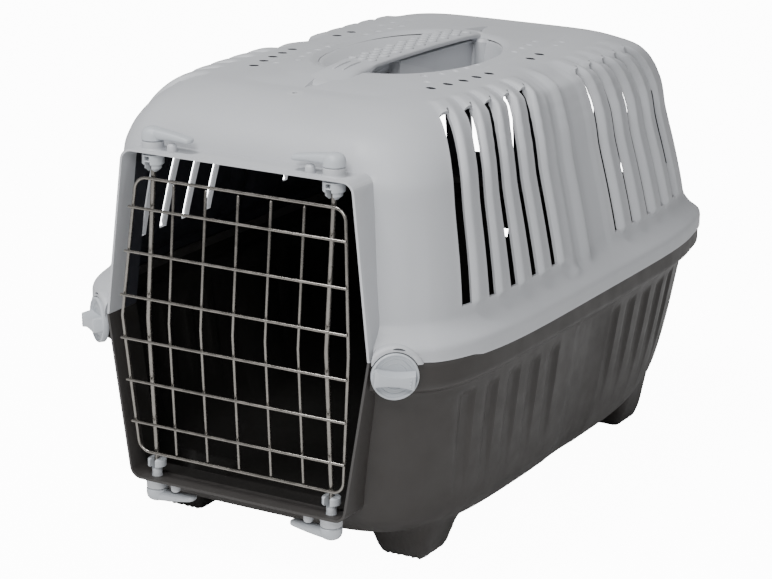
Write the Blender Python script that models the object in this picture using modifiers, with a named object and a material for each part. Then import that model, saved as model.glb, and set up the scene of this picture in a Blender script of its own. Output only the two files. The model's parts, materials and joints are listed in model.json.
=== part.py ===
"""Pet transport carrier: a two-part moulded shell with a wire door.

The carrier stands on four feet at z = 0, with its door towards -Y. A charcoal bottom shell and a
light grey top shell meet at a level rim. Together they form a collar around the door opening.
The door is a welded wire grid that hangs on two rods, held by four turning latches on the collar.
Two knobs on the front corners hold the shells together, and a carry handle bridges the roof.
"""

import math

import bmesh
import bpy
from mathutils import Matrix, Vector

MM = 0.001
GAP = 0.3 * MM

# Driving dimensions of the whole carrier.
HALF_WIDTH = 157.5 * MM
FRONT_REACH = 238.0 * MM
REAR_REACH = 244.0 * MM
SPLIT_HEIGHT = 158.0 * MM
FRONT_SPLIT_HEIGHT = 161.5 * MM
ROOF_HEIGHT = 315.5 * MM
SHELL_THICKNESS = 2.6 * MM
PLAN_EXPONENT = 5.0

# Vent slots: two groups on each side, placed as fractions of the reach to the front or rear.
FRONT_SLOT_START = -0.768
FRONT_SLOT_PITCH = 0.131
REAR_SLOT_START = 0.218
REAR_SLOT_PITCH = 0.1226
SLOTS_PER_GROUP = 5
SLOT_HALF_WIDTH = 0.021
RIB_OFFSET = 0.034
RIB_HEIGHT = 3.4 * MM
SLOT_BOTTOM_HEIGHT = 188.0 * MM

# The small step in the rim's lower edge, just behind the front corners.
RIM_STEP_Y = -174.0 * MM

# Vents in the rear wall: upright slots in the top shell, one short window a side in the bottom shell.
REAR_VENT_X = 36.7 * MM
REAR_VENT_PITCH = 30.0 * MM
REAR_VENTS_PER_SIDE = 3
REAR_VENT_HALF_WIDTH = 4.2 * MM
REAR_VENT_BOTTOM_HEIGHT = 184.0 * MM
REAR_VENT_TOP_HEIGHT = 278.0 * MM
REAR_WINDOW_BOTTOM_HEIGHT = 117.3 * MM
REAR_WINDOW_TOP_HEIGHT = 124.3 * MM
REAR_CUT_DEPTH = 60.0 * MM

# The front section of the shell stands proud of the rear section, with a valley between them.
VALLEY_START = -0.05
VALLEY_FLOOR = 0.06
VALLEY_END = 0.17
VALLEY_DEPTH = 5.0 * MM
REAR_SECTION_INSET = 2.0 * MM

# Shoulder of the top shell, a rounded quarter from the wall to the roof.
SHOULDER_START = 252.0 * MM
SHOULDER_TOP = 312.0 * MM
SHOULDER_EXPONENT = 2.3
SHOULDER_STEPS = 6
RIB_FADE_STEPS = 2

# Door collar, an eight-sided opening that is widest where the shells meet.
COLLAR_FRONT = -FRONT_REACH
COLLAR_DEPTH = 30.0 * MM
COLLAR_WALL = 2.8 * MM
COLLAR_MIDDLE_HEIGHT = 161.6 * MM
COLLAR_MIDDLE_HALF_WIDTH = 102.0 * MM
COLLAR_TOP_HEIGHT = 276.2 * MM
COLLAR_TOP_HALF_WIDTH = 88.5 * MM
COLLAR_BOTTOM_HEIGHT = 45.8 * MM
COLLAR_BOTTOM_HALF_WIDTH = 86.0 * MM
COLLAR_CORNER_RADIUS = 9.0 * MM
COLLAR_CUT_IN_FRONT = 10.0 * MM
COLLAR_CUT_DEPTH = 60.0 * MM
COLLAR_CUT_PAST_SPLIT = 20.0 * MM

# Door grid.
DOOR_PLANE_Y = -240.2 * MM
DOOR_LEAN = 0.08
DOOR_MIDDLE_HEIGHT = 162.3 * MM
DOOR_TOP_HEIGHT = 257.8 * MM
DOOR_BOTTOM_HEIGHT = 64.5 * MM
DOOR_TOP_HALF_WIDTH = 81.5 * MM
DOOR_MIDDLE_HALF_WIDTH = 88.2 * MM
DOOR_BOTTOM_HALF_WIDTH = 81.5 * MM
DOOR_CORNER_RADIUS = 9.0 * MM
FRAME_WIRE_RADIUS = 1.5 * MM
CROSS_WIRE_RADIUS = 1.2 * MM
UPRIGHT_WIRE_RADIUS = 1.2 * MM
CROSS_WIRE_COUNT = 6
CROSS_WIRE_PITCH = 30.2 * MM
CROSS_WIRE_OVERHANG = 1.6 * MM
UPRIGHT_WIRE_COUNT = 5
UPRIGHT_WIRE_PITCH = 25.2 * MM
ROD_RADIUS = 2.1 * MM
ROD_SETBACK = FRAME_WIRE_RADIUS + ROD_RADIUS + 1.2 * GAP

# Latches: turning levers on the collar whose spindles hold the ends of the door rods.
LATCH_X = 69.6 * MM
LATCH_Y = DOOR_PLANE_Y + DOOR_LEAN * (DOOR_MIDDLE_HEIGHT - DOOR_BOTTOM_HEIGHT) + ROD_SETBACK
LATCH_RING_RADIUS = 7.0 * MM
LATCH_RING_HEIGHT = 4.8 * MM
LATCH_NECK_RADIUS = 3.6 * MM
LATCH_NECK_CLEARANCE = 0.4 * MM
SPINDLE_RADIUS = 6.0 * MM
SPINDLE_TIP_RADIUS = 4.4 * MM
SPINDLE_SHOULDER_DEPTH = 11.5 * MM
SPINDLE_DEPTH = 14.5 * MM
ROD_SOCKET_DEPTH = 5.5 * MM
ROD_SOCKET_CLEARANCE = 0.5 * MM
ROD_ENGAGEMENT = 7.6 * MM
LEVER_HUB_RADIUS = 8.2 * MM
LEVER_HUB_HEIGHT = 9.5 * MM
LEVER_LENGTH = 31.0 * MM
STOP_NUB_RADIUS = 3.0 * MM
STOP_NUB_TOWARDS_MIDDLE = 17.0 * MM
STOP_NUB_FORWARD = 3.0 * MM

# Side knobs at the front corners.
KNOB_X = 117.5 * MM
KNOB_Y = -230.5 * MM
KNOB_Z = 151.5 * MM
KNOB_TURN = math.radians(37.0)
KNOB_RADIUS = 15.7 * MM
KNOB_THICKNESS = 5.0 * MM
KNOB_GRIP_HEIGHT = 7.0 * MM
KNOB_GRIP_HALF_WIDTH = 4.6 * MM
KNOB_SHAFT_RADIUS = 4.0 * MM
KNOB_SHAFT_CLEARANCE = 0.4 * MM
KNOB_POCKET_RADIUS = 17.0 * MM
KNOB_POCKET_DEPTH = 14.0 * MM
KNOB_BOSS_RADIUS = 9.0 * MM
KNOB_BOSS_DEPTH = 8.0 * MM
KNOB_CAM_THICKNESS = 3.0 * MM
KNOB_CAM_RADIUS = 5.0 * MM
KNOB_CAM_REACH = 10.0 * MM

# Handle pit and carry handle.
PIT_HALF_WIDTH = 58.0 * MM
PIT_FRONT = -84.0 * MM
PIT_REAR = 80.0 * MM
PIT_FLOOR_HEIGHT = 284.0 * MM
PIT_WALL = 2.8 * MM
WEB_HALF_WIDTH = 9.0 * MM
WEB_TOP_HEIGHT = 308.0 * MM
HANDLE_HALF_WIDTH = 14.0 * MM
HANDLE_TOP_HEIGHT = 321.0 * MM
HANDLE_THICKNESS = 9.0 * MM
HANDLE_FRONT = -112.0 * MM
HANDLE_REAR = 92.0 * MM
HANDLE_TAB_THICKNESS = 5.0 * MM
HANDLE_UNDERSIDE_DIP = 1.5 * MM
HANDLE_EDGE_RADIUS = 1.6 * MM
HANDLE_ARCH_SQUARENESS = 0.35
HANDLE_SEAT_DEPTH = 4.0 * MM
HANDLE_PAD_MARGIN = 4.0 * MM
HANDLE_PAD_OVERLAP = 8.0 * MM
STRAP_HOLE_RADIUS = 3.0 * MM
STRAP_HOLE_FRONT_Y = -165.0 * MM
STRAP_HOLE_REAR_Y = 107.0 * MM
STRAP_HOLE_OVERSHOOT = 20.0 * MM

# Feet.
FOOT_INNER_X = 76.0 * MM
FOOT_OUTER_X = 104.0 * MM
FRONT_FOOT_START = -167.0 * MM
FRONT_FOOT_END = -137.0 * MM
REAR_FOOT_START = 154.0 * MM
REAR_FOOT_END = 186.0 * MM
FOOT_SPREAD = 9.0 * MM
FRONT_FOOT_TOP_HEIGHT = 42.0 * MM
REAR_FOOT_TOP_HEIGHT = 64.0 * MM
FOOT_TOP_LEVEL = 3
FLOOR_HEIGHT = 21.0 * MM


def clear_scene():
    for item in list(bpy.data.objects):
        bpy.data.objects.remove(item, do_unlink=True)


def new_collection(name):
    collection = bpy.data.collections.new(name)
    bpy.context.scene.collection.children.link(collection)
    return collection


def make_material(name, colour, roughness, metallic=0.0):
    material = bpy.data.materials.new(name)
    material.use_nodes = True
    shader = material.node_tree.nodes["Principled BSDF"]
    shader.inputs["Base Color"].default_value = (*colour, 1.0)
    shader.inputs["Roughness"].default_value = roughness
    shader.inputs["Metallic"].default_value = metallic
    return material


clear_scene()
CARRIER = new_collection("pet_transport_carrier")
CUTTERS = new_collection("cutters")
GREY_PLASTIC = make_material("light_grey_plastic", (0.46, 0.48, 0.50), 0.45)
CHARCOAL_PLASTIC = make_material("charcoal_plastic", (0.040, 0.036, 0.033), 0.5)
LATCH_PLASTIC = make_material("latch_grey_plastic", (0.48, 0.51, 0.54), 0.4)
STEEL_WIRE = make_material("bright_steel_wire", (0.62, 0.60, 0.57), 0.3, 1.0)


def object_from_bmesh(name, shape, collection, material=None, smooth_angle=None):
    mesh = bpy.data.meshes.new(name)
    bmesh.ops.recalc_face_normals(shape, faces=shape.faces[:])
    shape.to_mesh(mesh)
    shape.free()
    if smooth_angle is not None:
        mesh.shade_smooth()
        mesh.set_sharp_from_angle(angle=math.radians(smooth_angle))
    item = bpy.data.objects.new(name, mesh)
    collection.objects.link(item)
    if material is not None:
        mesh.materials.append(material)
    if collection is CUTTERS:
        item.hide_render = True
        item.display_type = "WIRE"
    return item


def boolean(target, tool, operation):
    modifier = target.modifiers.new(tool.name, "BOOLEAN")
    modifier.object = tool
    modifier.operation = operation
    return modifier


def prism(name, outline, start, end, collection, material=None):
    """A closed solid from an (x, z) outline, drawn along Y from start to end."""
    shape = bmesh.new()
    corners = [shape.verts.new((x, start, z)) for x, z in outline]
    face = shape.faces.new(corners)
    moved = bmesh.ops.extrude_face_region(shape, geom=[face])["geom"]
    far_side = [part for part in moved if isinstance(part, bmesh.types.BMVert)]
    bmesh.ops.translate(shape, vec=(0.0, end - start, 0.0), verts=far_side)
    return object_from_bmesh(name, shape, collection, material)


def upright_prism(name, outline, bottom, top, collection, material=None, bottom_scale=1.0):
    """A closed solid from an (x, y) outline, drawn along Z from bottom to top."""
    shape = bmesh.new()
    corners = [shape.verts.new((x, y, top)) for x, y in outline]
    face = shape.faces.new(corners)
    moved = bmesh.ops.extrude_face_region(shape, geom=[face])["geom"]
    lower = [part for part in moved if isinstance(part, bmesh.types.BMVert)]
    middle = sum((vertex.co for vertex in lower), Vector()) / len(lower)
    for vertex in lower:
        vertex.co.x = middle.x + (vertex.co.x - middle.x) * bottom_scale
        vertex.co.y = middle.y + (vertex.co.y - middle.y) * bottom_scale
        vertex.co.z = bottom
    return object_from_bmesh(name, shape, collection, material)


def block(name, low, high, collection, material=None):
    shape = bmesh.new()
    bmesh.ops.create_cube(shape, size=1.0)
    for vertex in shape.verts:
        for axis in range(3):
            middle = (low[axis] + high[axis]) / 2.0
            vertex.co[axis] = middle + vertex.co[axis] * (high[axis] - low[axis])
    return object_from_bmesh(name, shape, collection, material)


def cylinder(name, radius, start, end, direction, collection, material=None, sides=20, end_radius=None):
    """A closed cylinder or cone frustum along a direction, between two distances from the origin."""
    shape = bmesh.new()
    far_radius = radius if end_radius is None else end_radius
    bmesh.ops.create_cone(
        shape, cap_ends=True, segments=sides, radius1=radius, radius2=far_radius, depth=end - start
    )
    turn = Vector((0.0, 0.0, 1.0)).rotation_difference(Vector(direction)).to_matrix().to_4x4()
    shift = Matrix.Translation(Vector(direction) * (start + end) / 2.0)
    bmesh.ops.transform(shape, matrix=shift @ turn, verts=shape.verts[:])
    return object_from_bmesh(name, shape, collection, material, 40.0)


# ---------------------------------------------------------------- plan of the two shells


def bulge(fraction):
    """The other coordinate of a unit superellipse."""
    return max(0.0, 1.0 - abs(fraction) ** PLAN_EXPONENT) ** (1.0 / PLAN_EXPONENT)


def slot_stations():
    stations = []
    for index in range(SLOTS_PER_GROUP):
        stations.append(FRONT_SLOT_START + index * FRONT_SLOT_PITCH)
    for index in range(SLOTS_PER_GROUP):
        stations.append(REAR_SLOT_START + index * REAR_SLOT_PITCH)
    return stations


def section_inset(station):
    """How far the wall steps in behind the proud front section."""
    if station <= VALLEY_START:
        return 0.0
    if station <= VALLEY_FLOOR:
        return VALLEY_DEPTH * (station - VALLEY_START) / (VALLEY_FLOOR - VALLEY_START)
    if station <= VALLEY_END:
        rise = (station - VALLEY_FLOOR) / (VALLEY_END - VALLEY_FLOOR)
        return VALLEY_DEPTH + (REAR_SECTION_INSET - VALLEY_DEPTH) * rise
    return REAR_SECTION_INSET


def plan_columns():
    """Columns of the half plan from front middle to rear middle: (x, y, rib, inset, opens a slot)."""
    columns = []
    for across in (0.0, 0.35, 0.58, 0.74, 0.85):
        columns.append((across, -bulge(across), 0.0, 0.0, False))
    side = []
    for station in slot_stations():
        side.append((station - SLOT_HALF_WIDTH, 0.0, True))
        side.append((station + SLOT_HALF_WIDTH, 0.0, False))
        side.append((station + RIB_OFFSET, 1.0, False))
    for station in (VALLEY_START, VALLEY_FLOOR, VALLEY_END):
        side.append((station, 0.0, False))
    for station, rib, opens in sorted(side):
        columns.append((bulge(station), station, rib, section_inset(station), opens))
    for across in (0.85, 0.74, 0.58, 0.35, 0.0):
        columns.append((across, bulge(across), 0.0, REAR_SECTION_INSET, False))
    return columns


def skin_point(column, level):
    """One point of a shell skin. A level is (height, side, front, rear insets, rib, section, lean)."""
    across, along, rib, inset, _ = column
    height, side_inset, front_inset, rear_inset, rib_share, section_share, slope = level
    reach = FRONT_REACH - front_inset if along < 0.0 else REAR_REACH - rear_inset
    outward = RIB_HEIGHT * rib * rib_share - inset * section_share
    half_width = HALF_WIDTH - side_inset + outward * math.cos(slope)
    lift = outward * math.sin(slope)
    return Vector((half_width * across, reach * along, height + lift))


def half_skin(name, levels, slot_levels, collection, material=None, close_first=False):
    """A skin through the levels, closed across the last one and mirrored to the other side."""
    columns = plan_columns()
    shape = bmesh.new()
    rings = []
    for level in levels:
        rings.append([shape.verts.new(skin_point(column, level)) for column in columns])
    for ring_index in range(len(levels) - 1):
        for index in range(len(columns) - 1):
            if columns[index][4] and ring_index in slot_levels:
                continue
            shape.faces.new(
                (
                    rings[ring_index][index],
                    rings[ring_index][index + 1],
                    rings[ring_index + 1][index + 1],
                    rings[ring_index + 1][index],
                )
            )
    shape.faces.new(rings[-1])
    if close_first:
        shape.faces.new(rings[0])
    item = object_from_bmesh(name, shape, collection, material)
    mirror = item.modifiers.new("mirror", "MIRROR")
    mirror.merge_threshold = 0.05 * MM
    return item


def shell_skin(name, levels, slot_levels, material):
    """A half skin thickened inwards into a moulded wall."""
    item = half_skin(name, levels, slot_levels, CARRIER, material)
    solidify = item.modifiers.new("wall", "SOLIDIFY")
    solidify.thickness = SHELL_THICKNESS
    solidify.offset = -1.0
    return item


def front_edge_heights(item, usual, raised, reach_limit):
    """Raise the rim edge in front of the small step behind the front corners."""
    for vertex in item.data.vertices:
        if abs(vertex.co.z - usual) < 0.01 * MM and vertex.co.y < reach_limit:
            vertex.co.z = raised


def add_rear_opening(shell, name, middle, low, high):
    """A pair of upright openings through the rear wall, mirrored about the middle."""
    for side, label in ((-1.0, "left"), (1.0, "right")):
        tool = block(
            f"{name}_{label}",
            (side * middle - REAR_VENT_HALF_WIDTH, REAR_REACH - REAR_CUT_DEPTH, low),
            (side * middle + REAR_VENT_HALF_WIDTH, REAR_REACH + 0.1 * REAR_CUT_DEPTH, high),
            CUTTERS,
        )
        boolean(shell, tool, "DIFFERENCE")


def top_levels():
    levels = [
        (SPLIT_HEIGHT + GAP, 0.0, 0.0, 0.0, 0.0, 0.0, 0.0),
        (170.0 * MM, 0.5 * MM, 0.5 * MM, 0.5 * MM, 0.0, 0.0, 0.0),
        (173.5 * MM, 3.5 * MM, 3.5 * MM, 3.5 * MM, 0.0, 0.0, 0.0),
        (181.0 * MM, 11.0 * MM, 8.5 * MM, 11.0 * MM, 0.0, 0.5, 0.0),
        (SLOT_BOTTOM_HEIGHT, 12.5 * MM, 9.5 * MM, 12.5 * MM, 0.0, 1.0, 0.0),
        (196.0 * MM, 13.0 * MM, 10.0 * MM, 13.5 * MM, 1.0, 1.0, 0.0),
    ]
    wall_side = 19.0 * MM
    wall_front = 17.0 * MM
    wall_rear = 24.0 * MM
    roof_side = 84.0 * MM
    roof_front = 90.0 * MM
    roof_rear = 104.0 * MM
    for step in range(SHOULDER_STEPS + 1):
        slope = math.radians(90.0 * step / SHOULDER_STEPS)
        rise = math.sin(slope) ** (2.0 / SHOULDER_EXPONENT)
        run = 1.0 - max(0.0, math.cos(slope)) ** (2.0 / SHOULDER_EXPONENT)
        height = SHOULDER_START + (SHOULDER_TOP - SHOULDER_START) * rise
        rib_share = min(1.0, max(0.0, (SHOULDER_STEPS - 1 - step) / RIB_FADE_STEPS))
        section_share = 1.0 if step < SHOULDER_STEPS else 0.0
        levels.append(
            (
                height,
                wall_side + (roof_side - wall_side) * run,
                wall_front + (roof_front - wall_front) * run,
                wall_rear + (roof_rear - wall_rear) * run,
                rib_share,
                section_share,
                slope,
            )
        )
    levels.append((ROOF_HEIGHT, 110.0 * MM, 150.0 * MM, 160.0 * MM, 0.0, 0.0, 0.0))
    return levels


def bottom_levels():
    rim_inset = 1.5 * MM
    return [
        (SPLIT_HEIGHT, rim_inset, 0.0, 0.0, 0.0, 0.0, 0.0),
        (146.0 * MM, rim_inset, 0.0, 0.0, 0.0, 0.0, 0.0),
        (142.0 * MM, 9.0 * MM, 8.5 * MM, 9.5 * MM, 0.0, 0.0, 0.0),
        (134.0 * MM, 9.5 * MM, 9.5 * MM, 11.0 * MM, 0.6, 0.6, 0.0),
        (92.0 * MM, 15.0 * MM, 14.0 * MM, 21.0 * MM, 0.4, 1.0, 0.0),
        (56.0 * MM, 21.5 * MM, 19.0 * MM, 33.0 * MM, 0.0, 1.0, 0.0),
        (38.0 * MM, 26.5 * MM, 24.0 * MM, 43.0 * MM, 0.0, 1.0, 0.0),
        (28.0 * MM, 34.5 * MM, 32.0 * MM, 54.0 * MM, 0.0, 0.5, 0.0),
        (FLOOR_HEIGHT + 1.5 * MM, 48.0 * MM, 47.0 * MM, 70.0 * MM, 0.0, 0.0, 0.0),
        (FLOOR_HEIGHT, 75.0 * MM, 90.0 * MM, 110.0 * MM, 0.0, 0.0, 0.0),
    ]


# ---------------------------------------------------------------- collar around the door


def collar_outline(inset, upper, reach_past=0.0):
    """Half of the eight-sided outline, as (x, z), from its right middle over to its left middle."""
    if upper:
        end_height = COLLAR_TOP_HEIGHT - inset
        end_half = COLLAR_TOP_HALF_WIDTH - inset
        middle_height = COLLAR_MIDDLE_HEIGHT + GAP - reach_past
        side = 1.0
    else:
        end_height = COLLAR_BOTTOM_HEIGHT + inset
        end_half = COLLAR_BOTTOM_HALF_WIDTH - inset
        middle_height = COLLAR_MIDDLE_HEIGHT + reach_past
        side = -1.0
    middle_half = COLLAR_MIDDLE_HALF_WIDTH - inset
    radius = COLLAR_CORNER_RADIUS - inset
    lean = math.atan2(middle_half - end_half, abs(end_height - COLLAR_MIDDLE_HEIGHT))
    half = [(middle_half, middle_height)]
    if reach_past > 0.0:
        half.append((middle_half, COLLAR_MIDDLE_HEIGHT))
    steps = 4
    for step in range(steps + 1):
        angle = lean + (math.pi / 2.0 - lean) * step / steps
        x = end_half - radius + radius * math.cos(angle)
        z = end_height - side * (radius - radius * math.sin(angle))
        half.append((x, z))
    return half + [(-x, z) for x, z in reversed(half)]


def add_collar(shell, upper):
    part = "upper" if upper else "lower"
    plug = prism(
        f"{part}_collar_body",
        collar_outline(0.0, upper),
        COLLAR_FRONT,
        COLLAR_FRONT + COLLAR_DEPTH,
        CUTTERS,
    )
    boolean(shell, plug, "UNION")
    opening = prism(
        f"{part}_collar_opening",
        collar_outline(COLLAR_WALL, upper, COLLAR_CUT_PAST_SPLIT),
        COLLAR_FRONT - COLLAR_CUT_IN_FRONT,
        COLLAR_FRONT + COLLAR_CUT_DEPTH,
        CUTTERS,
    )
    boolean(shell, opening, "DIFFERENCE")


def latch_places(upper):
    height = COLLAR_TOP_HEIGHT if upper else COLLAR_BOTTOM_HEIGHT
    return [Vector((side * LATCH_X, LATCH_Y, height)) for side in (-1.0, 1.0)]


def add_latch_seats(shell, upper):
    """Rings and stop nubs that stand on the collar, with a bore for each spindle."""
    part = "upper" if upper else "lower"
    up = Vector((0.0, 0.0, 1.0 if upper else -1.0))
    for place, label in zip(latch_places(upper), ("left", "right")):
        ring = cylinder(
            f"{part}_{label}_latch_ring", LATCH_RING_RADIUS, -1.0 * MM, LATCH_RING_HEIGHT, up, CUTTERS
        )
        ring.location = place
        boolean(shell, ring, "UNION")
        nub_height = LATCH_RING_HEIGHT - 0.6 * MM
        nub = cylinder(
            f"{part}_{label}_stop_nub", STOP_NUB_RADIUS, -1.0 * MM, nub_height, up, CUTTERS, sides=10
        )
        inward = -math.copysign(STOP_NUB_TOWARDS_MIDDLE, place.x)
        nub.location = place + Vector((inward, -STOP_NUB_FORWARD, 0.0))
        boolean(shell, nub, "UNION")
        bore = cylinder(
            f"{part}_{label}_latch_bore",
            LATCH_NECK_RADIUS + LATCH_NECK_CLEARANCE,
            -COLLAR_WALL - 5.0 * MM,
            LATCH_RING_HEIGHT + 5.0 * MM,
            up,
            CUTTERS,
        )
        bore.location = place
        boolean(shell, bore, "DIFFERENCE")


# ---------------------------------------------------------------- side knobs


def knob_direction(side):
    return Vector((side * math.sin(KNOB_TURN), -math.cos(KNOB_TURN), 0.0))


def knob_place(side):
    return Vector((side * KNOB_X, KNOB_Y, KNOB_Z))


def add_knob_seats(shell, with_shaft):
    """A flat round seat behind each knob; the bottom shell also carries the knob's shaft."""
    for side, label in ((-1.0, "left"), (1.0, "right")):
        direction = knob_direction(side)
        back = -KNOB_THICKNESS - GAP
        if with_shaft:
            boss = cylinder(
                f"{label}_knob_boss",
                KNOB_BOSS_RADIUS,
                back - KNOB_BOSS_DEPTH,
                back - 0.5 * MM,
                direction,
                CUTTERS,
            )
            boss.location = knob_place(side) - Vector((0.0, 0.0, 0.5 * MM))
            boolean(shell, boss, "UNION")
        kind = "bottom" if with_shaft else "top"
        pocket = cylinder(
            f"{kind}_{label}_knob_pocket",
            KNOB_POCKET_RADIUS,
            back,
            back + KNOB_POCKET_DEPTH,
            direction,
            CUTTERS,
        )
        pocket.location = knob_place(side)
        boolean(shell, pocket, "DIFFERENCE")
        if with_shaft:
            bore = cylinder(
                f"{label}_knob_bore",
                KNOB_SHAFT_RADIUS + KNOB_SHAFT_CLEARANCE,
                back - 20.0 * MM,
                back + 2.0 * MM,
                direction,
                CUTTERS,
            )
            bore.location = knob_place(side)
            boolean(shell, bore, "DIFFERENCE")


def build_knob(side, label):
    direction = knob_direction(side)
    knob = cylinder(
        f"knob_{label}", KNOB_RADIUS, -KNOB_THICKNESS, 0.0, direction, CARRIER, LATCH_PLASTIC, sides=28
    )
    knob.location = knob_place(side)
    tangent = Vector((0.0, 0.0, 1.0)).cross(direction)
    turn = Matrix((tangent, direction, Vector((0.0, 0.0, 1.0)))).transposed().to_4x4()
    grip_outline = []
    grip_half_length = KNOB_RADIUS - 0.6 * MM
    for step in range(7):
        along = -1.0 + step / 3.0
        waist = KNOB_GRIP_HALF_WIDTH * (0.75 + 0.35 * along * along)
        grip_outline.append((along * grip_half_length * 0.94, waist))
    grip_outline = grip_outline + [(x, -z) for x, z in reversed(grip_outline)]
    grip = prism(f"{label}_knob_grip", grip_outline, -1.0 * MM, KNOB_GRIP_HEIGHT, CUTTERS)
    grip.matrix_world = Matrix.Translation(knob_place(side)) @ turn
    boolean(knob, grip, "UNION")
    shaft = cylinder(
        f"{label}_knob_shaft",
        KNOB_SHAFT_RADIUS,
        -KNOB_THICKNESS - GAP - KNOB_BOSS_DEPTH - 1.0 * MM,
        -1.0 * MM,
        direction,
        CUTTERS,
        sides=16,
    )
    shaft.location = knob_place(side)
    boolean(knob, shaft, "UNION")

    cam_front = -KNOB_THICKNESS - 2.0 * GAP - KNOB_BOSS_DEPTH - 1.0 * MM
    cam_outline = []
    for step in range(9):
        angle = math.pi * step / 8.0
        across = KNOB_CAM_RADIUS * math.cos(angle)
        cam_outline.append((across, KNOB_CAM_REACH + KNOB_CAM_RADIUS * math.sin(angle)))
    cam_outline.append((-KNOB_CAM_RADIUS, -KNOB_CAM_RADIUS))
    cam_outline.append((KNOB_CAM_RADIUS, -KNOB_CAM_RADIUS))
    cam = prism(
        f"knob_cam_{label}", cam_outline, cam_front, cam_front - KNOB_CAM_THICKNESS, CARRIER, LATCH_PLASTIC
    )
    cam.matrix_world = Matrix.Translation(knob_place(side)) @ turn


# ---------------------------------------------------------------- top shell, pit and handle


def boat_outline(half_width, front, rear, inset=0.0, inner_edge=None):
    """Pointed oval outline of the handle pit, as (x, y); with inner_edge, only its right half."""
    middle = (front + rear) / 2.0
    reach = (rear - front) / 2.0 - inset
    width = half_width - inset
    steps = 14
    right = []
    for step in range(steps + 1):
        angle = math.pi * (step / steps - 0.5)
        right.append((width * abs(math.cos(angle)) ** 0.8, middle + reach * math.sin(angle)))
    if inner_edge is not None:
        kept = [(x, y) for x, y in right if x > inner_edge + 1.0 * MM]
        return [(inner_edge, kept[0][1])] + kept + [(inner_edge, kept[-1][1])]
    return right[:-1] + [(-x, y) for x, y in reversed(right[1:])]


def add_handle_pit(shell):
    tub = upright_prism(
        "pit_tub",
        boat_outline(PIT_HALF_WIDTH, PIT_FRONT, PIT_REAR, -PIT_WALL),
        PIT_FLOOR_HEIGHT - PIT_WALL,
        ROOF_HEIGHT - 1.6 * MM,
        CUTTERS,
        bottom_scale=0.86,
    )
    boolean(shell, tub, "UNION")
    for name, front, rear in (
        ("front_handle_pad", HANDLE_FRONT - HANDLE_PAD_MARGIN, PIT_FRONT + HANDLE_PAD_OVERLAP),
        ("rear_handle_pad", PIT_REAR - HANDLE_PAD_OVERLAP, HANDLE_REAR + HANDLE_PAD_MARGIN),
    ):
        pad_half = HANDLE_HALF_WIDTH + 3.0 * MM
        pad = block(
            name,
            (-pad_half, front, SHOULDER_TOP - 9.0 * MM),
            (pad_half, rear, SHOULDER_TOP - 0.6 * MM),
            CUTTERS,
        )
        boolean(shell, pad, "UNION")
    throat = upright_prism(
        "pit_throat",
        boat_outline(PIT_HALF_WIDTH, PIT_FRONT, PIT_REAR),
        WEB_TOP_HEIGHT,
        ROOF_HEIGHT + 12.0 * MM,
        CUTTERS,
        bottom_scale=0.97,
    )
    boolean(shell, throat, "DIFFERENCE")
    for side, label in ((1.0, "right"), (-1.0, "left")):
        outline = boat_outline(
            PIT_HALF_WIDTH * 0.95, PIT_FRONT + 3.0 * MM, PIT_REAR - 3.0 * MM, 0.0, WEB_HALF_WIDTH
        )
        lobe = upright_prism(
            f"{label}_pit_lobe",
            [(side * x, y) for x, y in outline],
            PIT_FLOOR_HEIGHT,
            WEB_TOP_HEIGHT + 2.0 * MM,
            CUTTERS,
            bottom_scale=0.88,
        )
        boolean(shell, lobe, "DIFFERENCE")
    recess = block(
        "handle_recess",
        (-HANDLE_HALF_WIDTH - GAP, HANDLE_FRONT - GAP, SHOULDER_TOP - HANDLE_SEAT_DEPTH),
        (HANDLE_HALF_WIDTH + GAP, HANDLE_REAR + GAP, ROOF_HEIGHT + 12.0 * MM),
        CUTTERS,
    )
    boolean(shell, recess, "DIFFERENCE")


def build_handle():
    """A bar that arches over the pit, with a flat tab at each end that rests in the roof's recess."""
    seat = SHOULDER_TOP - HANDLE_SEAT_DEPTH + GAP
    tab_top = seat + HANDLE_TAB_THICKNESS
    rise = HANDLE_TOP_HEIGHT - HANDLE_THICKNESS
    top_edge = []
    under_edge = []
    steps = 10
    for step in range(steps + 1):
        along = step / steps
        y = HANDLE_FRONT + (HANDLE_REAR - HANDLE_FRONT) * along
        arch = math.sin(math.pi * along) ** HANDLE_ARCH_SQUARENESS if 0.0 < along < 1.0 else 0.0
        top_height = tab_top + (HANDLE_TOP_HEIGHT - tab_top) * arch
        under_height = seat
        if PIT_FRONT < y < PIT_REAR:
            under_height = max(seat, rise - HANDLE_UNDERSIDE_DIP * (1.0 - arch))
        top_edge.append((y, top_height))
        under_edge.append((y, under_height))
    shape = bmesh.new()
    outline = under_edge + list(reversed(top_edge))
    corners = [shape.verts.new((-HANDLE_HALF_WIDTH, y, z)) for y, z in outline]
    face = shape.faces.new(corners)
    moved = bmesh.ops.extrude_face_region(shape, geom=[face])["geom"]
    far_side = [part for part in moved if isinstance(part, bmesh.types.BMVert)]
    bmesh.ops.translate(shape, vec=(2.0 * HANDLE_HALF_WIDTH, 0.0, 0.0), verts=far_side)
    handle = object_from_bmesh("carry_handle", shape, CARRIER, GREY_PLASTIC)
    bevel = handle.modifiers.new("soft_edges", "BEVEL")
    bevel.width = HANDLE_EDGE_RADIUS
    bevel.segments = 2
    bevel.limit_method = "ANGLE"
    bevel.angle_limit = math.radians(50.0)


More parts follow.
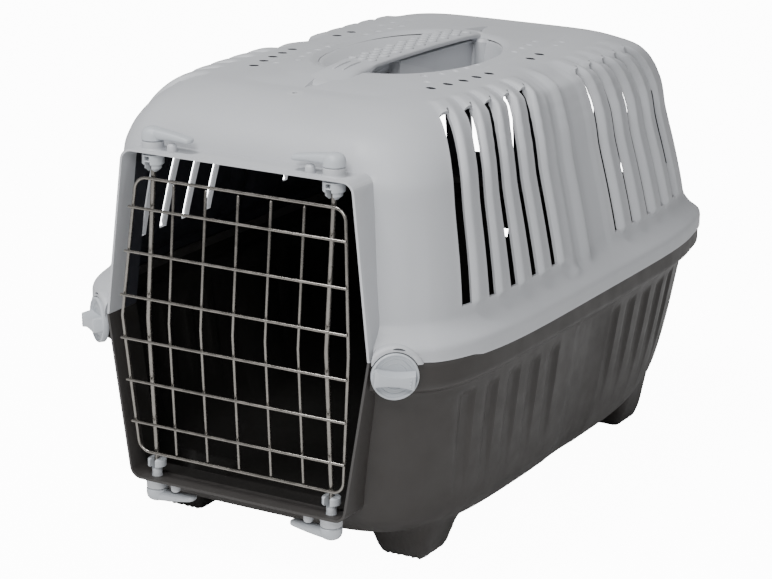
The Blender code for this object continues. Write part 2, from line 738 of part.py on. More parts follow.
def build_top_shell():
    levels = top_levels()
    slot_levels = range(4, len(levels) - 3)
    shell = shell_skin("top_shell", levels, slot_levels, GREY_PLASTIC)
    front_edge_heights(shell, SPLIT_HEIGHT + GAP, FRONT_SPLIT_HEIGHT + GAP, RIM_STEP_Y)
    add_collar(shell, True)
    add_latch_seats(shell, True)
    add_handle_pit(shell)
    add_knob_seats(shell, False)
    for index in range(REAR_VENTS_PER_SIDE):
        middle = REAR_VENT_X + index * REAR_VENT_PITCH
        name = f"rear_vent_{index + 1}"
        add_rear_opening(shell, name, middle, REAR_VENT_BOTTOM_HEIGHT, REAR_VENT_TOP_HEIGHT)
    up = (0.0, 0.0, 1.0)
    for label, y in (("front", STRAP_HOLE_FRONT_Y), ("rear", STRAP_HOLE_REAR_Y)):
        high = ROOF_HEIGHT + STRAP_HOLE_OVERSHOOT
        low = SHOULDER_TOP - STRAP_HOLE_OVERSHOOT
        hole = cylinder(f"{label}_strap_hole", STRAP_HOLE_RADIUS, low, high, up, CUTTERS, sides=12)
        hole.location = Vector((0.0, y, 0.0))
        boolean(shell, hole, "DIFFERENCE")
    return shell


# ---------------------------------------------------------------- bottom shell


def add_feet(shell, levels):
    """Four tapered feet that grow out of the underside as far as the middle of its wall."""
    to_middle = SHELL_THICKNESS / 2.0
    middle_levels = []
    for height, side, front, rear, rib, section, slope in levels[FOOT_TOP_LEVEL:]:
        shrunk = (side + to_middle, front + to_middle, rear + to_middle)
        middle_levels.append((height + to_middle, *shrunk, rib, section, slope))
    wall_middle = half_skin("underside_wall_middle", middle_levels, range(0), CUTTERS, close_first=True)
    foot_width = FOOT_OUTER_X - FOOT_INNER_X
    taper = foot_width / (foot_width + 2.0 * FOOT_SPREAD)
    for side, side_name in ((-1.0, "left"), (1.0, "right")):
        for start, end, top, end_name in (
            (FRONT_FOOT_START, FRONT_FOOT_END, FRONT_FOOT_TOP_HEIGHT, "front"),
            (REAR_FOOT_START, REAR_FOOT_END, REAR_FOOT_TOP_HEIGHT, "rear"),
        ):
            inner = side * (FOOT_INNER_X - FOOT_SPREAD)
            outer = side * (FOOT_OUTER_X + FOOT_SPREAD)
            near = start - FOOT_SPREAD
            far = end + FOOT_SPREAD
            outline = [(inner, near), (outer, near), (outer, far), (inner, far)]
            foot = upright_prism(
                f"{end_name}_{side_name}_foot", outline, 0.0, top, CUTTERS, bottom_scale=taper
            )
            boolean(foot, wall_middle, "DIFFERENCE")
            boolean(shell, foot, "UNION")


def build_bottom_shell():
    levels = bottom_levels()
    shell = shell_skin("bottom_shell", levels, range(0), CHARCOAL_PLASTIC)
    front_edge_heights(shell, SPLIT_HEIGHT, FRONT_SPLIT_HEIGHT, RIM_STEP_Y)
    add_feet(shell, levels)
    add_rear_opening(shell, "rear_window", REAR_VENT_X, REAR_WINDOW_BOTTOM_HEIGHT, REAR_WINDOW_TOP_HEIGHT)
    add_collar(shell, False)
    add_latch_seats(shell, False)
    add_knob_seats(shell, True)
    return shell


# ---------------------------------------------------------------- latches


def lever_object(name):
    """A domed hub with a tapering arm towards +X, standing on z = 0."""
    profile = [
        (LEVER_HUB_RADIUS * 0.35, LEVER_HUB_HEIGHT),
        (LEVER_HUB_RADIUS * 0.78, LEVER_HUB_HEIGHT * 0.82),
        (LEVER_HUB_RADIUS, LEVER_HUB_HEIGHT * 0.42),
        (LEVER_HUB_RADIUS * 0.94, 0.0),
    ]
    shape = bmesh.new()
    sides = 20
    rings = []
    for radius, height in profile:
        ring = bmesh.ops.create_circle(shape, segments=sides, radius=radius)["verts"]
        bmesh.ops.translate(shape, vec=(0.0, 0.0, height), verts=ring)
        rings.append(ring)
    edges = shape.edges[:]
    bmesh.ops.bridge_loops(shape, edges=edges)
    bmesh.ops.holes_fill(shape, edges=shape.edges[:], sides=sides)
    lever = object_from_bmesh(name, shape, CARRIER, LATCH_PLASTIC, 40.0)
    arm_outline = [
        (0.0, LEVER_HUB_HEIGHT * 0.86),
        (LEVER_LENGTH * 0.55, LEVER_HUB_HEIGHT * 0.72),
        (LEVER_LENGTH, LEVER_HUB_HEIGHT * 0.36),
        (LEVER_LENGTH, LEVER_HUB_HEIGHT * 0.10),
        (LEVER_LENGTH * 0.6, LEVER_HUB_HEIGHT * 0.16),
        (0.0, LEVER_HUB_HEIGHT * 0.16),
    ]
    arm = prism(f"{name}_arm", arm_outline, -5.2 * MM, 5.2 * MM, CUTTERS)
    boolean(lever, arm, "UNION")
    return lever, arm


def spindle_object(name):
    """The post below the collar: a neck, a round body and a cone, slotted towards -Y for the rod."""
    neck_top = LATCH_RING_HEIGHT - GAP
    body_top = -COLLAR_WALL - GAP
    spindle = cylinder(
        name, SPINDLE_RADIUS, -SPINDLE_SHOULDER_DEPTH, body_top, (0.0, 0.0, 1.0), CARRIER, LATCH_PLASTIC
    )
    neck = cylinder(
        f"{name}_neck", LATCH_NECK_RADIUS, body_top - 1.0 * MM, neck_top, (0.0, 0.0, 1.0), CUTTERS
    )
    cone = cylinder(
        f"{name}_cone",
        SPINDLE_TIP_RADIUS,
        -SPINDLE_DEPTH,
        -SPINDLE_SHOULDER_DEPTH + 0.5 * MM,
        (0.0, 0.0, 1.0),
        CUTTERS,
        end_radius=SPINDLE_RADIUS - 0.8 * MM,
    )
    socket = cylinder(
        f"{name}_socket",
        ROD_RADIUS + ROD_SOCKET_CLEARANCE,
        -SPINDLE_DEPTH - 3.0 * MM,
        -ROD_SOCKET_DEPTH,
        (0.0, 0.0, 1.0),
        CUTTERS,
        sides=16,
    )
    mouth_half = ROD_RADIUS + ROD_SOCKET_CLEARANCE
    mouth = block(
        f"{name}_mouth",
        (-mouth_half, -12.0 * MM, -SPINDLE_DEPTH - 3.0 * MM),
        (mouth_half, 0.0, -ROD_SOCKET_DEPTH),
        CUTTERS,
    )
    boolean(spindle, neck, "UNION")
    boolean(spindle, cone, "UNION")
    boolean(spindle, socket, "DIFFERENCE")
    boolean(spindle, mouth, "DIFFERENCE")
    return spindle, (neck, cone, socket, mouth)


def place_with_helpers(item, helpers, matrix):
    item.matrix_world = matrix
    for helper in helpers:
        helper.matrix_world = matrix


def build_latches():
    for upper in (True, False):
        level = "top" if upper else "bottom"
        for place, label in zip(latch_places(upper), ("left", "right")):
            towards_middle = -math.copysign(1.0, place.x)
            up = 1.0 if upper else -1.0
            across = Vector((towards_middle, 0.0, 0.0))
            lift = Vector((0.0, 0.0, up))
            lever_turn = Matrix((across, lift.cross(across), lift)).transposed().to_4x4()
            spindle_turn = Matrix.Identity(4) if upper else Matrix.Rotation(math.pi, 4, "Y")
            lever, arm = lever_object(f"latch_lever_{level}_{label}")
            seat = place + lift * (LATCH_RING_HEIGHT + GAP)
            place_with_helpers(lever, (arm,), Matrix.Translation(seat) @ lever_turn)
            spindle, helpers = spindle_object(f"latch_spindle_{level}_{label}")
            place_with_helpers(spindle, helpers, Matrix.Translation(place) @ spindle_turn)


# ---------------------------------------------------------------- door


def door_y(height):
    return DOOR_PLANE_Y + DOOR_LEAN * abs(height - DOOR_MIDDLE_HEIGHT)


def door_half_width(height):
    if height > DOOR_MIDDLE_HEIGHT:
        share = (height - DOOR_MIDDLE_HEIGHT) / (DOOR_TOP_HEIGHT - DOOR_MIDDLE_HEIGHT)
        return DOOR_MIDDLE_HALF_WIDTH + (DOOR_TOP_HALF_WIDTH - DOOR_MIDDLE_HALF_WIDTH) * share
    share = (DOOR_MIDDLE_HEIGHT - height) / (DOOR_MIDDLE_HEIGHT - DOOR_BOTTOM_HEIGHT)
    return DOOR_MIDDLE_HALF_WIDTH + (DOOR_BOTTOM_HALF_WIDTH - DOOR_MIDDLE_HALF_WIDTH) * share


def wire(name, points, radius, closed=False, resolution=1):
    """A round wire through the points, made a mesh with welded caps."""
    curve = bpy.data.curves.new(name, "CURVE")
    curve.dimensions = "3D"
    curve.bevel_depth = radius
    curve.bevel_resolution = resolution
    curve.use_fill_caps = not closed
    spline = curve.splines.new("POLY")
    spline.points.add(len(points) - 1)
    spline.use_cyclic_u = closed
    for target, point in zip(spline.points, points):
        target.co = (*point, 1.0)
    helper = bpy.data.objects.new(f"{name}_curve", curve)
    CARRIER.objects.link(helper)
    bpy.context.view_layer.update()
    evaluated = helper.evaluated_get(bpy.context.evaluated_depsgraph_get())
    mesh = bpy.data.meshes.new_from_object(evaluated)
    mesh.name = name
    bpy.data.objects.remove(helper, do_unlink=True)
    bpy.data.curves.remove(curve)
    shape = bmesh.new()
    shape.from_mesh(mesh)
    bmesh.ops.remove_doubles(shape, verts=shape.verts[:], dist=0.01 * MM)
    bmesh.ops.recalc_face_normals(shape, faces=shape.faces[:])
    shape.to_mesh(mesh)
    shape.free()
    mesh.shade_smooth()
    mesh.set_sharp_from_angle(angle=math.radians(60.0))
    mesh.materials.clear()
    mesh.materials.append(STEEL_WIRE)
    item = bpy.data.objects.new(name, mesh)
    CARRIER.objects.link(item)
    return item


def frame_points():
    """The closed outer wire: bent at mid height, with round corners."""
    points = []
    steps = 4
    for upper in (True, False):
        end_height = DOOR_TOP_HEIGHT if upper else DOOR_BOTTOM_HEIGHT
        half = DOOR_TOP_HALF_WIDTH if upper else DOOR_BOTTOM_HALF_WIDTH
        side = 1.0 if upper else -1.0
        radius = DOOR_CORNER_RADIUS
        corner = []
        for step in range(steps + 1):
            angle = math.pi / 2.0 * step / steps
            x = half - radius + radius * math.cos(angle)
            z = end_height - side * (radius - radius * math.sin(angle))
            corner.append((x, z))
        middle = (DOOR_MIDDLE_HALF_WIDTH, DOOR_MIDDLE_HEIGHT)
        if upper:
            points = points + [middle] + corner + [(-x, z) for x, z in reversed(corner)]
        else:
            left_side = [(-middle[0], middle[1])] + [(-x, z) for x, z in corner]
            points = points + left_side + list(reversed(corner))
    return [(x, door_y(z), z) for x, z in points]


def build_door():
    wire("door_frame", frame_points(), FRAME_WIRE_RADIUS, closed=True)
    cross_y = -(FRAME_WIRE_RADIUS + CROSS_WIRE_RADIUS + GAP)
    for index in range(CROSS_WIRE_COUNT):
        height = DOOR_MIDDLE_HEIGHT + (index - (CROSS_WIRE_COUNT - 1) / 2.0) * CROSS_WIRE_PITCH
        half = door_half_width(height) + CROSS_WIRE_OVERHANG
        y = door_y(height) + cross_y
        wire(f"door_cross_wire_{index + 1}", [(-half, y, height), (half, y, height)], CROSS_WIRE_RADIUS)
    end_clearance = FRAME_WIRE_RADIUS + GAP
    for index in range(UPRIGHT_WIRE_COUNT):
        x = (index - (UPRIGHT_WIRE_COUNT - 1) / 2.0) * UPRIGHT_WIRE_PITCH
        heights = (DOOR_BOTTOM_HEIGHT + end_clearance, DOOR_MIDDLE_HEIGHT, DOOR_TOP_HEIGHT - end_clearance)
        points = [(x, door_y(height), height) for height in heights]
        wire(f"door_upright_wire_{index + 1}", points, UPRIGHT_WIRE_RADIUS)
    rod_top = COLLAR_TOP_HEIGHT - ROD_ENGAGEMENT
    rod_bottom = COLLAR_BOTTOM_HEIGHT + ROD_ENGAGEMENT
    for side, label in ((-1.0, "left"), (1.0, "right")):
        x = side * LATCH_X
        middle_y = door_y(DOOR_MIDDLE_HEIGHT) + ROD_SETBACK
        points = [
            (x, LATCH_Y, rod_bottom),
            (x, LATCH_Y, DOOR_BOTTOM_HEIGHT - 1.5 * MM),
            (x, middle_y, DOOR_MIDDLE_HEIGHT),
            (x, LATCH_Y, DOOR_TOP_HEIGHT + 1.5 * MM),
            (x, LATCH_Y, rod_top),
        ]
        wire(f"door_rod_{label}", points, ROD_RADIUS, resolution=2)


build_bottom_shell()
build_top_shell()
build_handle()
build_latches()
build_knob(-1.0, "left")
build_knob(1.0, "right")
build_door()
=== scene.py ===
"""Looks of the pet transport carrier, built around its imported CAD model.

The two shells, the handle, the latches, the corner knobs and the door wires are rebuilt here as
detailed meshes on the bodies of the CAD model. All lengths are in metres in the CAD frame.
"""

import json
import math

import bmesh
import bpy
import numpy as np
from mathutils import Matrix, Vector


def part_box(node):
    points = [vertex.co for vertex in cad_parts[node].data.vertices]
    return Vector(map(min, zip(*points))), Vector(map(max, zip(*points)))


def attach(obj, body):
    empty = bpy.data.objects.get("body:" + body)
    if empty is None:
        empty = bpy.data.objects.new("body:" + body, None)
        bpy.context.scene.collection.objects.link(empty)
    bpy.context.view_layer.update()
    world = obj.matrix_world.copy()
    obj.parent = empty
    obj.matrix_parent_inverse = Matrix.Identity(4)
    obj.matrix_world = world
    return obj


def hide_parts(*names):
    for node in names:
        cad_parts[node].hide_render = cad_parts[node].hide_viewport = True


MM = 0.001
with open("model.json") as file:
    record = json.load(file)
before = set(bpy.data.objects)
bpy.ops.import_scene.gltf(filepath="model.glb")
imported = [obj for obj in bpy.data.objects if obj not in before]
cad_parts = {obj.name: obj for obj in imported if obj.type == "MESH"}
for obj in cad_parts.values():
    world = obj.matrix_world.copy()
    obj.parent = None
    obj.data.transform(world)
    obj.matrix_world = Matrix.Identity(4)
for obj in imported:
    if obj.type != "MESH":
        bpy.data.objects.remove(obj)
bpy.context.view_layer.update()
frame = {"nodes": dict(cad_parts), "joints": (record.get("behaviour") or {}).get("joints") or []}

# ---------------------------------------------------------------- sizes taken from the frame

TOP_LOW, TOP_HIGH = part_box("top_shell")
JOINTS = {joint["name"]: joint for joint in frame["joints"]}

HALF_WIDTH = TOP_HIGH.x
FRONT_REACH = -TOP_LOW.y
REAR_REACH = TOP_HIGH.y
SHELL_GAP = 0.4 * MM
SPLIT_HEIGHT = TOP_LOW.z - 1.3 * MM
FRONT_SPLIT_RISE = 1.6 * MM
ROOF_HEIGHT = TOP_HIGH.z - 0.1 * MM
WALL = 2.6 * MM
PLAN_EXPONENT = 5.0
REAR_CORNER_EXTRA = 0.9
STEP_REACH = -177.0 * MM
STEP_HALF_LENGTH = 5.5 * MM
STEP_FADE = 11.0 * MM
CORNER_REACH = -205.0 * MM
COLLAR_SPLIT_RISE = 1.6 * MM
ROOF_STEPS = 40
ROOF_GROOVE_SHARE = 0.925
ROOF_GROOVE_DEPTH = 0.6 * MM
REAR_ROOF_DROP = 2.0 * MM
RIDGE_SHARE = 0.62

# Vent slots, as fractions of the reach to the front or rear, and offsets in millimetres from a slot.
SLOT_COUNT = 5
FRONT_SLOT_START = -0.768
FRONT_SLOT_PITCH = 0.131
REAR_SLOT_START = 0.218
REAR_SLOT_PITCH = 0.1226
SLOT_HALF = 5.0
RIB_HEIGHT = 3.3 * MM
FRONT_SLOT_SHIFT = 4.2 * MM
SLOT_BOTTOM = 188.0 * MM
SOFT_RIDGE_STATION = -0.125
SOFT_RIDGE_HEIGHT = 2.9 * MM
SOFT_RIDGE_WIDTH = 8.5 * MM


def signed_power(value, power):
    return math.copysign(abs(value) ** power, value)


def smooth_step(value, low, high):
    share = min(1.0, max(0.0, (value - low) / (high - low)))
    return share * share * (3.0 - 2.0 * share)


def plan_exponent(along):
    """The rear corners of the plan are a little fuller than the front ones."""
    return PLAN_EXPONENT + REAR_CORNER_EXTRA * smooth_step(along, 0.72, 0.92)


def bulge(fraction):
    """The other coordinate of the unit superellipse of the plan."""
    exponent = plan_exponent(fraction)
    return max(0.0, 1.0 - abs(fraction) ** exponent) ** (1.0 / exponent)


def steady_slopes(knots, values):
    """Slopes of a monotone cubic through the values, so that it never overshoots."""
    widths = np.diff(knots)
    secants = np.diff(values) / widths
    slopes = np.zeros(len(values))
    slopes[0] = secants[0]
    slopes[-1] = secants[-1]
    for index in range(1, len(values) - 1):
        before = secants[index - 1]
        after = secants[index]
        if before * after > 0.0:
            slopes[index] = 2.0 * before * after / (before + after)
    return slopes


def fine_rows(rows, spacing):
    """Rows of numbers filled in with a monotone cubic; the first two numbers set the distance."""
    rows = np.array(rows, float)
    steps = np.hypot(np.diff(rows[:, 0]), np.diff(rows[:, 1]))
    knots = np.concatenate([[0.0], np.cumsum(np.maximum(steps, 1e-6))])
    slopes = [steady_slopes(knots, rows[:, column]) for column in range(rows.shape[1])]
    filled = []
    for index in range(len(rows) - 1):
        width = knots[index + 1] - knots[index]
        count = max(1, math.ceil(width / spacing(rows[index])))
        for step in range(count):
            share = step / count
            row = []
            for column in range(rows.shape[1]):
                start = rows[index, column]
                end = rows[index + 1, column]
                slope_start = slopes[column][index] * width
                slope_end = slopes[column][index + 1] * width
                bend = 2.0 * share**3 - 3.0 * share**2 + 1.0
                lean_in = share**3 - 2.0 * share**2 + share
                lean_out = share**3 - share**2
                value = bend * start + lean_in * slope_start
                value += (1.0 - bend) * end
                row.append(value + lean_out * slope_end)
            filled.append(row)
    filled.append(list(rows[-1]))
    return filled


# ---------------------------------------------------------------- materials


class Nodes:
    """Short hand for building a material's node tree."""

    def __init__(self, name):
        self.material = bpy.data.materials.new(name)
        self.material.use_nodes = True
        self.tree = self.material.node_tree
        self.shader = self.tree.nodes["Principled BSDF"]
        self.place = self.add("ShaderNodeTexCoord").outputs["Object"]

    def add(self, kind, **settings):
        node = self.tree.nodes.new(kind)
        for key, value in settings.items():
            setattr(node, key, value)
        return node

    def feed(self, node, key, source):
        if hasattr(source, "links"):
            self.tree.links.new(source, node.inputs[key])
        else:
            node.inputs[key].default_value = source

    def noise(self, scale, detail=3.0, roughness=0.5, stretch=None):
        place = self.place
        if stretch is not None:
            mapping = self.add("ShaderNodeMapping")
            mapping.inputs["Scale"].default_value = stretch
            self.feed(mapping, "Vector", place)
            place = mapping.outputs["Vector"]
        node = self.add("ShaderNodeTexNoise")
        self.feed(node, "Vector", place)
        self.feed(node, "Scale", scale)
        self.feed(node, "Detail", detail)
        self.feed(node, "Roughness", roughness)
        return node.outputs["Fac"]

    def ramp(self, source, low, high, start, end):
        node = self.add("ShaderNodeMapRange")
        self.feed(node, "Value", source)
        self.feed(node, "From Min", low)
        self.feed(node, "From Max", high)
        self.feed(node, "To Min", start)
        self.feed(node, "To Max", end)
        return node.outputs["Result"]

    def mix(self, share, first, second, blend="MIX"):
        node = self.add("ShaderNodeMix", data_type="RGBA", blend_type=blend)
        self.feed(node, 0, share)
        self.feed(node, 6, first)
        self.feed(node, 7, second)
        return node.outputs[2]

    def bump(self, height, strength, distance, under=None):
        node = self.add("ShaderNodeBump")
        self.feed(node, "Height", height)
        self.feed(node, "Strength", strength)
        self.feed(node, "Distance", distance)
        if under is not None:
            self.feed(node, "Normal", under)
        return node.outputs["Normal"]

    def edges(self, low, high):
        """How much a point lies on a worn outer edge."""
        geometry = self.add("ShaderNodeNewGeometry")
        return self.ramp(geometry.outputs["Pointiness"], low, high, 0.0, 1.0)


def tinted(colour, factor):
    return (colour[0] * factor, colour[1] * factor, colour[2] * factor, 1.0)


def moulded_plastic(name, colour, roughness, grain=1.0, edge_lift=0.14, cloud=0.05):
    """Injection-moulded plastic: fine spark-eroded grain, faint flow clouding and rubbed edges."""
    nodes = Nodes(name)
    cloud_noise = nodes.noise(9.0, 2.0)
    flow_noise = nodes.noise(26.0, 4.0, 0.6, (1.0, 1.0, 0.35))
    clouded = nodes.ramp(cloud_noise, 0.3, 0.7, 0.0, 1.0)
    base = nodes.mix(clouded, tinted(colour, 1.0 - cloud), tinted(colour, 1.0 + cloud))
    streaked = nodes.ramp(flow_noise, 0.45, 0.62, 0.0, 0.35)
    base = nodes.mix(streaked, base, tinted(colour, 1.0 - 1.6 * cloud))
    speck_noise = nodes.noise(1900.0, 2.0)
    base = nodes.mix(nodes.ramp(speck_noise, 0.35, 0.68, 0.0, 0.30), base, tinted(colour, 1.10))
    worn = nodes.edges(0.51, 0.60)
    base = nodes.mix(nodes.ramp(worn, 0.0, 1.0, 0.0, edge_lift), base, (0.85, 0.86, 0.87, 1.0))
    nodes.feed(nodes.shader, "Base Color", base)
    gloss_noise = nodes.noise(60.0, 3.0)
    gloss = nodes.ramp(gloss_noise, 0.3, 0.7, roughness - 0.05, roughness + 0.06)
    nodes.feed(nodes.shader, "Roughness", gloss)
    nodes.feed(nodes.shader, "Specular IOR Level", 0.42)
    fine = nodes.noise(2600.0, 2.0)
    coarse = nodes.noise(900.0, 2.0)
    waves = nodes.noise(34.0, 2.0)
    normal = nodes.bump(fine, 0.16 * grain, 0.05 * MM)
    normal = nodes.bump(coarse, 0.14 * grain, 0.12 * MM, normal)
    normal = nodes.bump(waves, 0.10 * grain, 0.35 * MM, normal)
    nodes.feed(nodes.shader, "Normal", normal)
    return nodes.material


def plated_wire(name, colour):
    """Bright zinc plate: fine drawing marks, cloudy bloom and duller spots."""
    nodes = Nodes(name)
    bloom = nodes.noise(140.0, 4.0, 0.6)
    spots = nodes.noise(620.0, 3.0)
    bloomed = nodes.ramp(bloom, 0.3, 0.7, 0.0, 1.0)
    base = nodes.mix(bloomed, tinted(colour, 0.78), tinted(colour, 1.12))
    base = nodes.mix(nodes.ramp(spots, 0.60, 0.72, 0.0, 0.5), base, tinted(colour, 0.55))
    nodes.feed(nodes.shader, "Base Color", base)
    nodes.feed(nodes.shader, "Metallic", 0.92)
    nodes.feed(nodes.shader, "Roughness", nodes.ramp(bloom, 0.3, 0.7, 0.20, 0.34))
    marks = nodes.noise(1500.0, 3.0, 0.6)
    nodes.feed(nodes.shader, "Normal", nodes.bump(marks, 0.25, 0.04 * MM))
    return nodes.material


GREY = moulded_plastic("light_grey_moulding", (0.470, 0.482, 0.505), 0.46)
# The inside of the light grey shell is the same moulding; this near-black colour is painted shade for its
# unlit inner faces, hole walls and the deep part of the door opening.
GREY_INSIDE_PAINTED_SHADE = moulded_plastic("grey_shell_inside_painted_shade", (0.020, 0.021, 0.028), 0.62, edge_lift=0.0)
CHARCOAL = moulded_plastic("charcoal_moulding", (0.031, 0.0275, 0.0255), 0.50, edge_lift=0.03, cloud=0.07)
# Darker than the charcoal moulding itself: painted shade for the bottom shell's inner faces and the deep
# part of its door opening.
CHARCOAL_INSIDE_PAINTED_SHADE = moulded_plastic("charcoal_inside_painted_shade", (0.008, 0.007, 0.006), 0.70, edge_lift=0.0)
LATCH = moulded_plastic("latch_grey_moulding", (0.465, 0.490, 0.520), 0.38, grain=0.6)
WIRE = plated_wire("bright_plated_wire", (0.27, 0.255, 0.235))


# ---------------------------------------------------------------- mesh helpers


def new_object(name, mesh, materials):
    item = bpy.data.objects.new(name, mesh)
    bpy.context.scene.collection.objects.link(item)
    for material in materials:
        mesh.materials.append(material)
    return item


def from_bmesh(name, shape, materials, smooth_angle=35.0):
    bmesh.ops.recalc_face_normals(shape, faces=shape.faces[:])
    mesh = bpy.data.meshes.new(name)
    shape.to_mesh(mesh)
    shape.free()
    mesh.shade_smooth()
    mesh.set_sharp_from_angle(angle=math.radians(smooth_angle))
    return new_object(name, mesh, materials)


def settle(item, smooth_angle=35.0):
    """Apply every modifier of an object and place its mesh in the frame."""
    bpy.context.view_layer.update()
    graph = bpy.context.evaluated_depsgraph_get()
    mesh = bpy.data.meshes.new_from_object(item.evaluated_get(graph))
    mesh.transform(item.matrix_world)
    item.modifiers.clear()
    item.data = mesh
    item.matrix_world = Matrix.Identity(4)
    mesh.shade_smooth()
    mesh.set_sharp_from_angle(angle=math.radians(smooth_angle))
    return item


def cut(item, tool, operation="DIFFERENCE"):
    """One exact Boolean, applied at once."""
    modifier = item.modifiers.new("cut", "BOOLEAN")
    modifier.object = tool
    modifier.operation = operation
    modifier.solver = "EXACT"
    settle(item)
    bpy.data.objects.remove(tool, do_unlink=True)
    return item


def moved(item, matrix, smooth_angle=35.0):
    """Place a piece that was made at the origin."""
    item.matrix_world = matrix
    return settle(item, smooth_angle)


def axes(first, second, third):
    """The matrix that turns the local axes to three directions."""
    return Matrix((first, second, third)).transposed().to_4x4()


def hand_over(item, body, replaced=None):
    """Give a finished piece its body and hide the CAD node it stands for."""
    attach(item, body)
    if replaced is not None:
        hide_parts(replaced)


def loft(name, rings, materials, smooth_angle=35.0, close_ends=True):
    """A solid through rings of points that all have the same count."""
    shape = bmesh.new()
    rows = [[shape.verts.new(point) for point in ring] for ring in rings]
    count = len(rows[0])
    for lower, upper in zip(rows, rows[1:]):
        for index in range(count):
            following = (index + 1) % count
            shape.faces.new((lower[index], lower[following], upper[following], upper[index]))
    if close_ends:
        shape.faces.new(list(reversed(rows[0])))
        shape.faces.new(rows[-1])
    return from_bmesh(name, shape, materials, smooth_angle)


def soften(item, width, segments=2, angle=35.0):
    bevel = item.modifiers.new("soft_edges", "BEVEL")
    bevel.width = width
    bevel.segments = segments
    bevel.limit_method = "ANGLE"
    bevel.angle_limit = math.radians(angle)
    bevel.harden_normals = False
    return settle(item, 50.0)


def turned(name, profile, materials, sides=48, smooth_angle=35.0):
    """A body of revolution about Z from (radius, height) points; a zero radius closes it."""
    rings = []
    for radius, height in profile:
        ring = []
        for index in range(sides):
            angle = 2.0 * math.pi * index / sides
            ring.append((radius * math.cos(angle), radius * math.sin(angle), height))
        rings.append(ring)
    return loft(name, rings, materials, smooth_angle)


def drill(name, radius, low, high, materials, sides):
    """A round cutter along Z."""
    return turned(name, [(radius, low), (radius, high)], materials, sides)


def join(name, items):
    """Merge several meshes into the first one."""
    shape = bmesh.new()
    materials = []
    for item in items:
        start = len(shape.faces)
        shape.from_mesh(item.data)
        shape.faces.ensure_lookup_table()
        offset = len(materials)
        for face in shape.faces[start:]:
            face.material_index += offset
        materials.extend(item.data.materials)
    for item in items:
        bpy.data.objects.remove(item, do_unlink=True)
    mesh = bpy.data.meshes.new(name)
    shape.to_mesh(mesh)
    shape.free()
    return new_object(name, mesh, materials)


# ---------------------------------------------------------------- plan of the shells


def slot_centres():
    centres = []
    for index in range(SLOT_COUNT):
        centres.append((FRONT_SLOT_START + index * FRONT_SLOT_PITCH, FRONT_REACH))
    for index in range(SLOT_COUNT):
        centres.append((REAR_SLOT_START + index * REAR_SLOT_PITCH, REAR_REACH))
    return centres


SLOTS = slot_centres()
GAP_COLUMNS = 50
RIB_OFFSETS = (5.0, 6.2, 7.4, 8.6, 10.2, 12.5, 16.0, 20.5)
OVER_OFFSETS = (-5.0, -4.2, -3.0, -1.0, 2.5)
REAR_OVER_OFFSETS = (-2.5, -1.9, -0.9, 0.7, 2.9)


def corner_columns(sign, reach_to):
    """Even columns round a plan corner, from the door or rear middle to the first slot."""
    samples = []
    for index in range(801):
        angle = math.pi / 2.0 * index / 800.0
        exponent = plan_exponent(sign * math.cos(angle) ** (2.0 / PLAN_EXPONENT))
        across = math.sin(angle) ** (2.0 / exponent)
        along = math.cos(angle) ** (2.0 / exponent)
        if along < 0.9:
            across = bulge(sign * along)
        samples.append((across, along))
    kept = [(0.0, sign)]
    last = samples[0]
    for across, along in samples:
        step = math.hypot((across - last[0]) * HALF_WIDTH, (along - last[1]) * FRONT_REACH)
        if along <= reach_to:
            break
        if step >= 4.5 * MM:
            kept.append((across, sign * along))
            last = (across, along)
    return kept


def plan_columns():
    """Half plan from front middle to rear middle: dicts of across, along, slot and offset."""
    first = SLOTS[0][0] - 7.5 * MM / FRONT_REACH
    last = SLOTS[-1][0] + 27.0 * MM / REAR_REACH
    columns = []
    for across, along in corner_columns(-1.0, -first):
        columns.append({"across": across, "along": along, "slot": None, "offset": 0.0})
    side = []
    for number, (centre, reach) in enumerate(SLOTS):
        over_offsets = OVER_OFFSETS if number < SLOT_COUNT else REAR_OVER_OFFSETS
        for offset in over_offsets + RIB_OFFSETS:
            side.append((centre + offset * MM / reach, number, offset))
    gap_start = SLOTS[SLOT_COUNT - 1][0] + 25.0 * MM / FRONT_REACH
    gap_end = SLOTS[SLOT_COUNT][0] - 8.0 * MM / REAR_REACH
    for index in range(GAP_COLUMNS + 1):
        side.append((gap_start + (gap_end - gap_start) * index / GAP_COLUMNS, None, 0.0))
    side.append((last, None, 0.0))
    side.sort()
    for station, number, offset in side:
        columns.append({"across": bulge(station), "along": station, "slot": number, "offset": offset})
    for across, along in reversed(corner_columns(1.0, last)):
        columns.append({"across": across, "along": along, "slot": None, "offset": 0.0})
    return columns


COLUMNS = plan_columns()

# Height of a rib, as a share of its full height, against the distance in mm from its slot's middle.
RIB_SHAPE = (
    (5.0, 0.0),
    (6.2, 0.55),
    (7.4, 0.90),
    (8.6, 1.0),
    (10.2, 0.96),
    (12.5, 0.82),
    (16.0, 0.55),
    (20.5, 0.25),
    (26.0, 0.0),
)
# The same above the slot, where the rib widens over the slot's closed end.
LOBE_SHAPE = ((-5.0, 0.0), (-4.2, 0.45), (-3.0, 0.80), (-1.0, 0.97), (2.5, 1.0)) + RIB_SHAPE[4:]


def shape_value(shape, place, column=1):
    """Value at one place of a table whose rows start with their place."""
    return float(np.interp(place, [row[0] for row in shape], [row[column] for row in shape]))


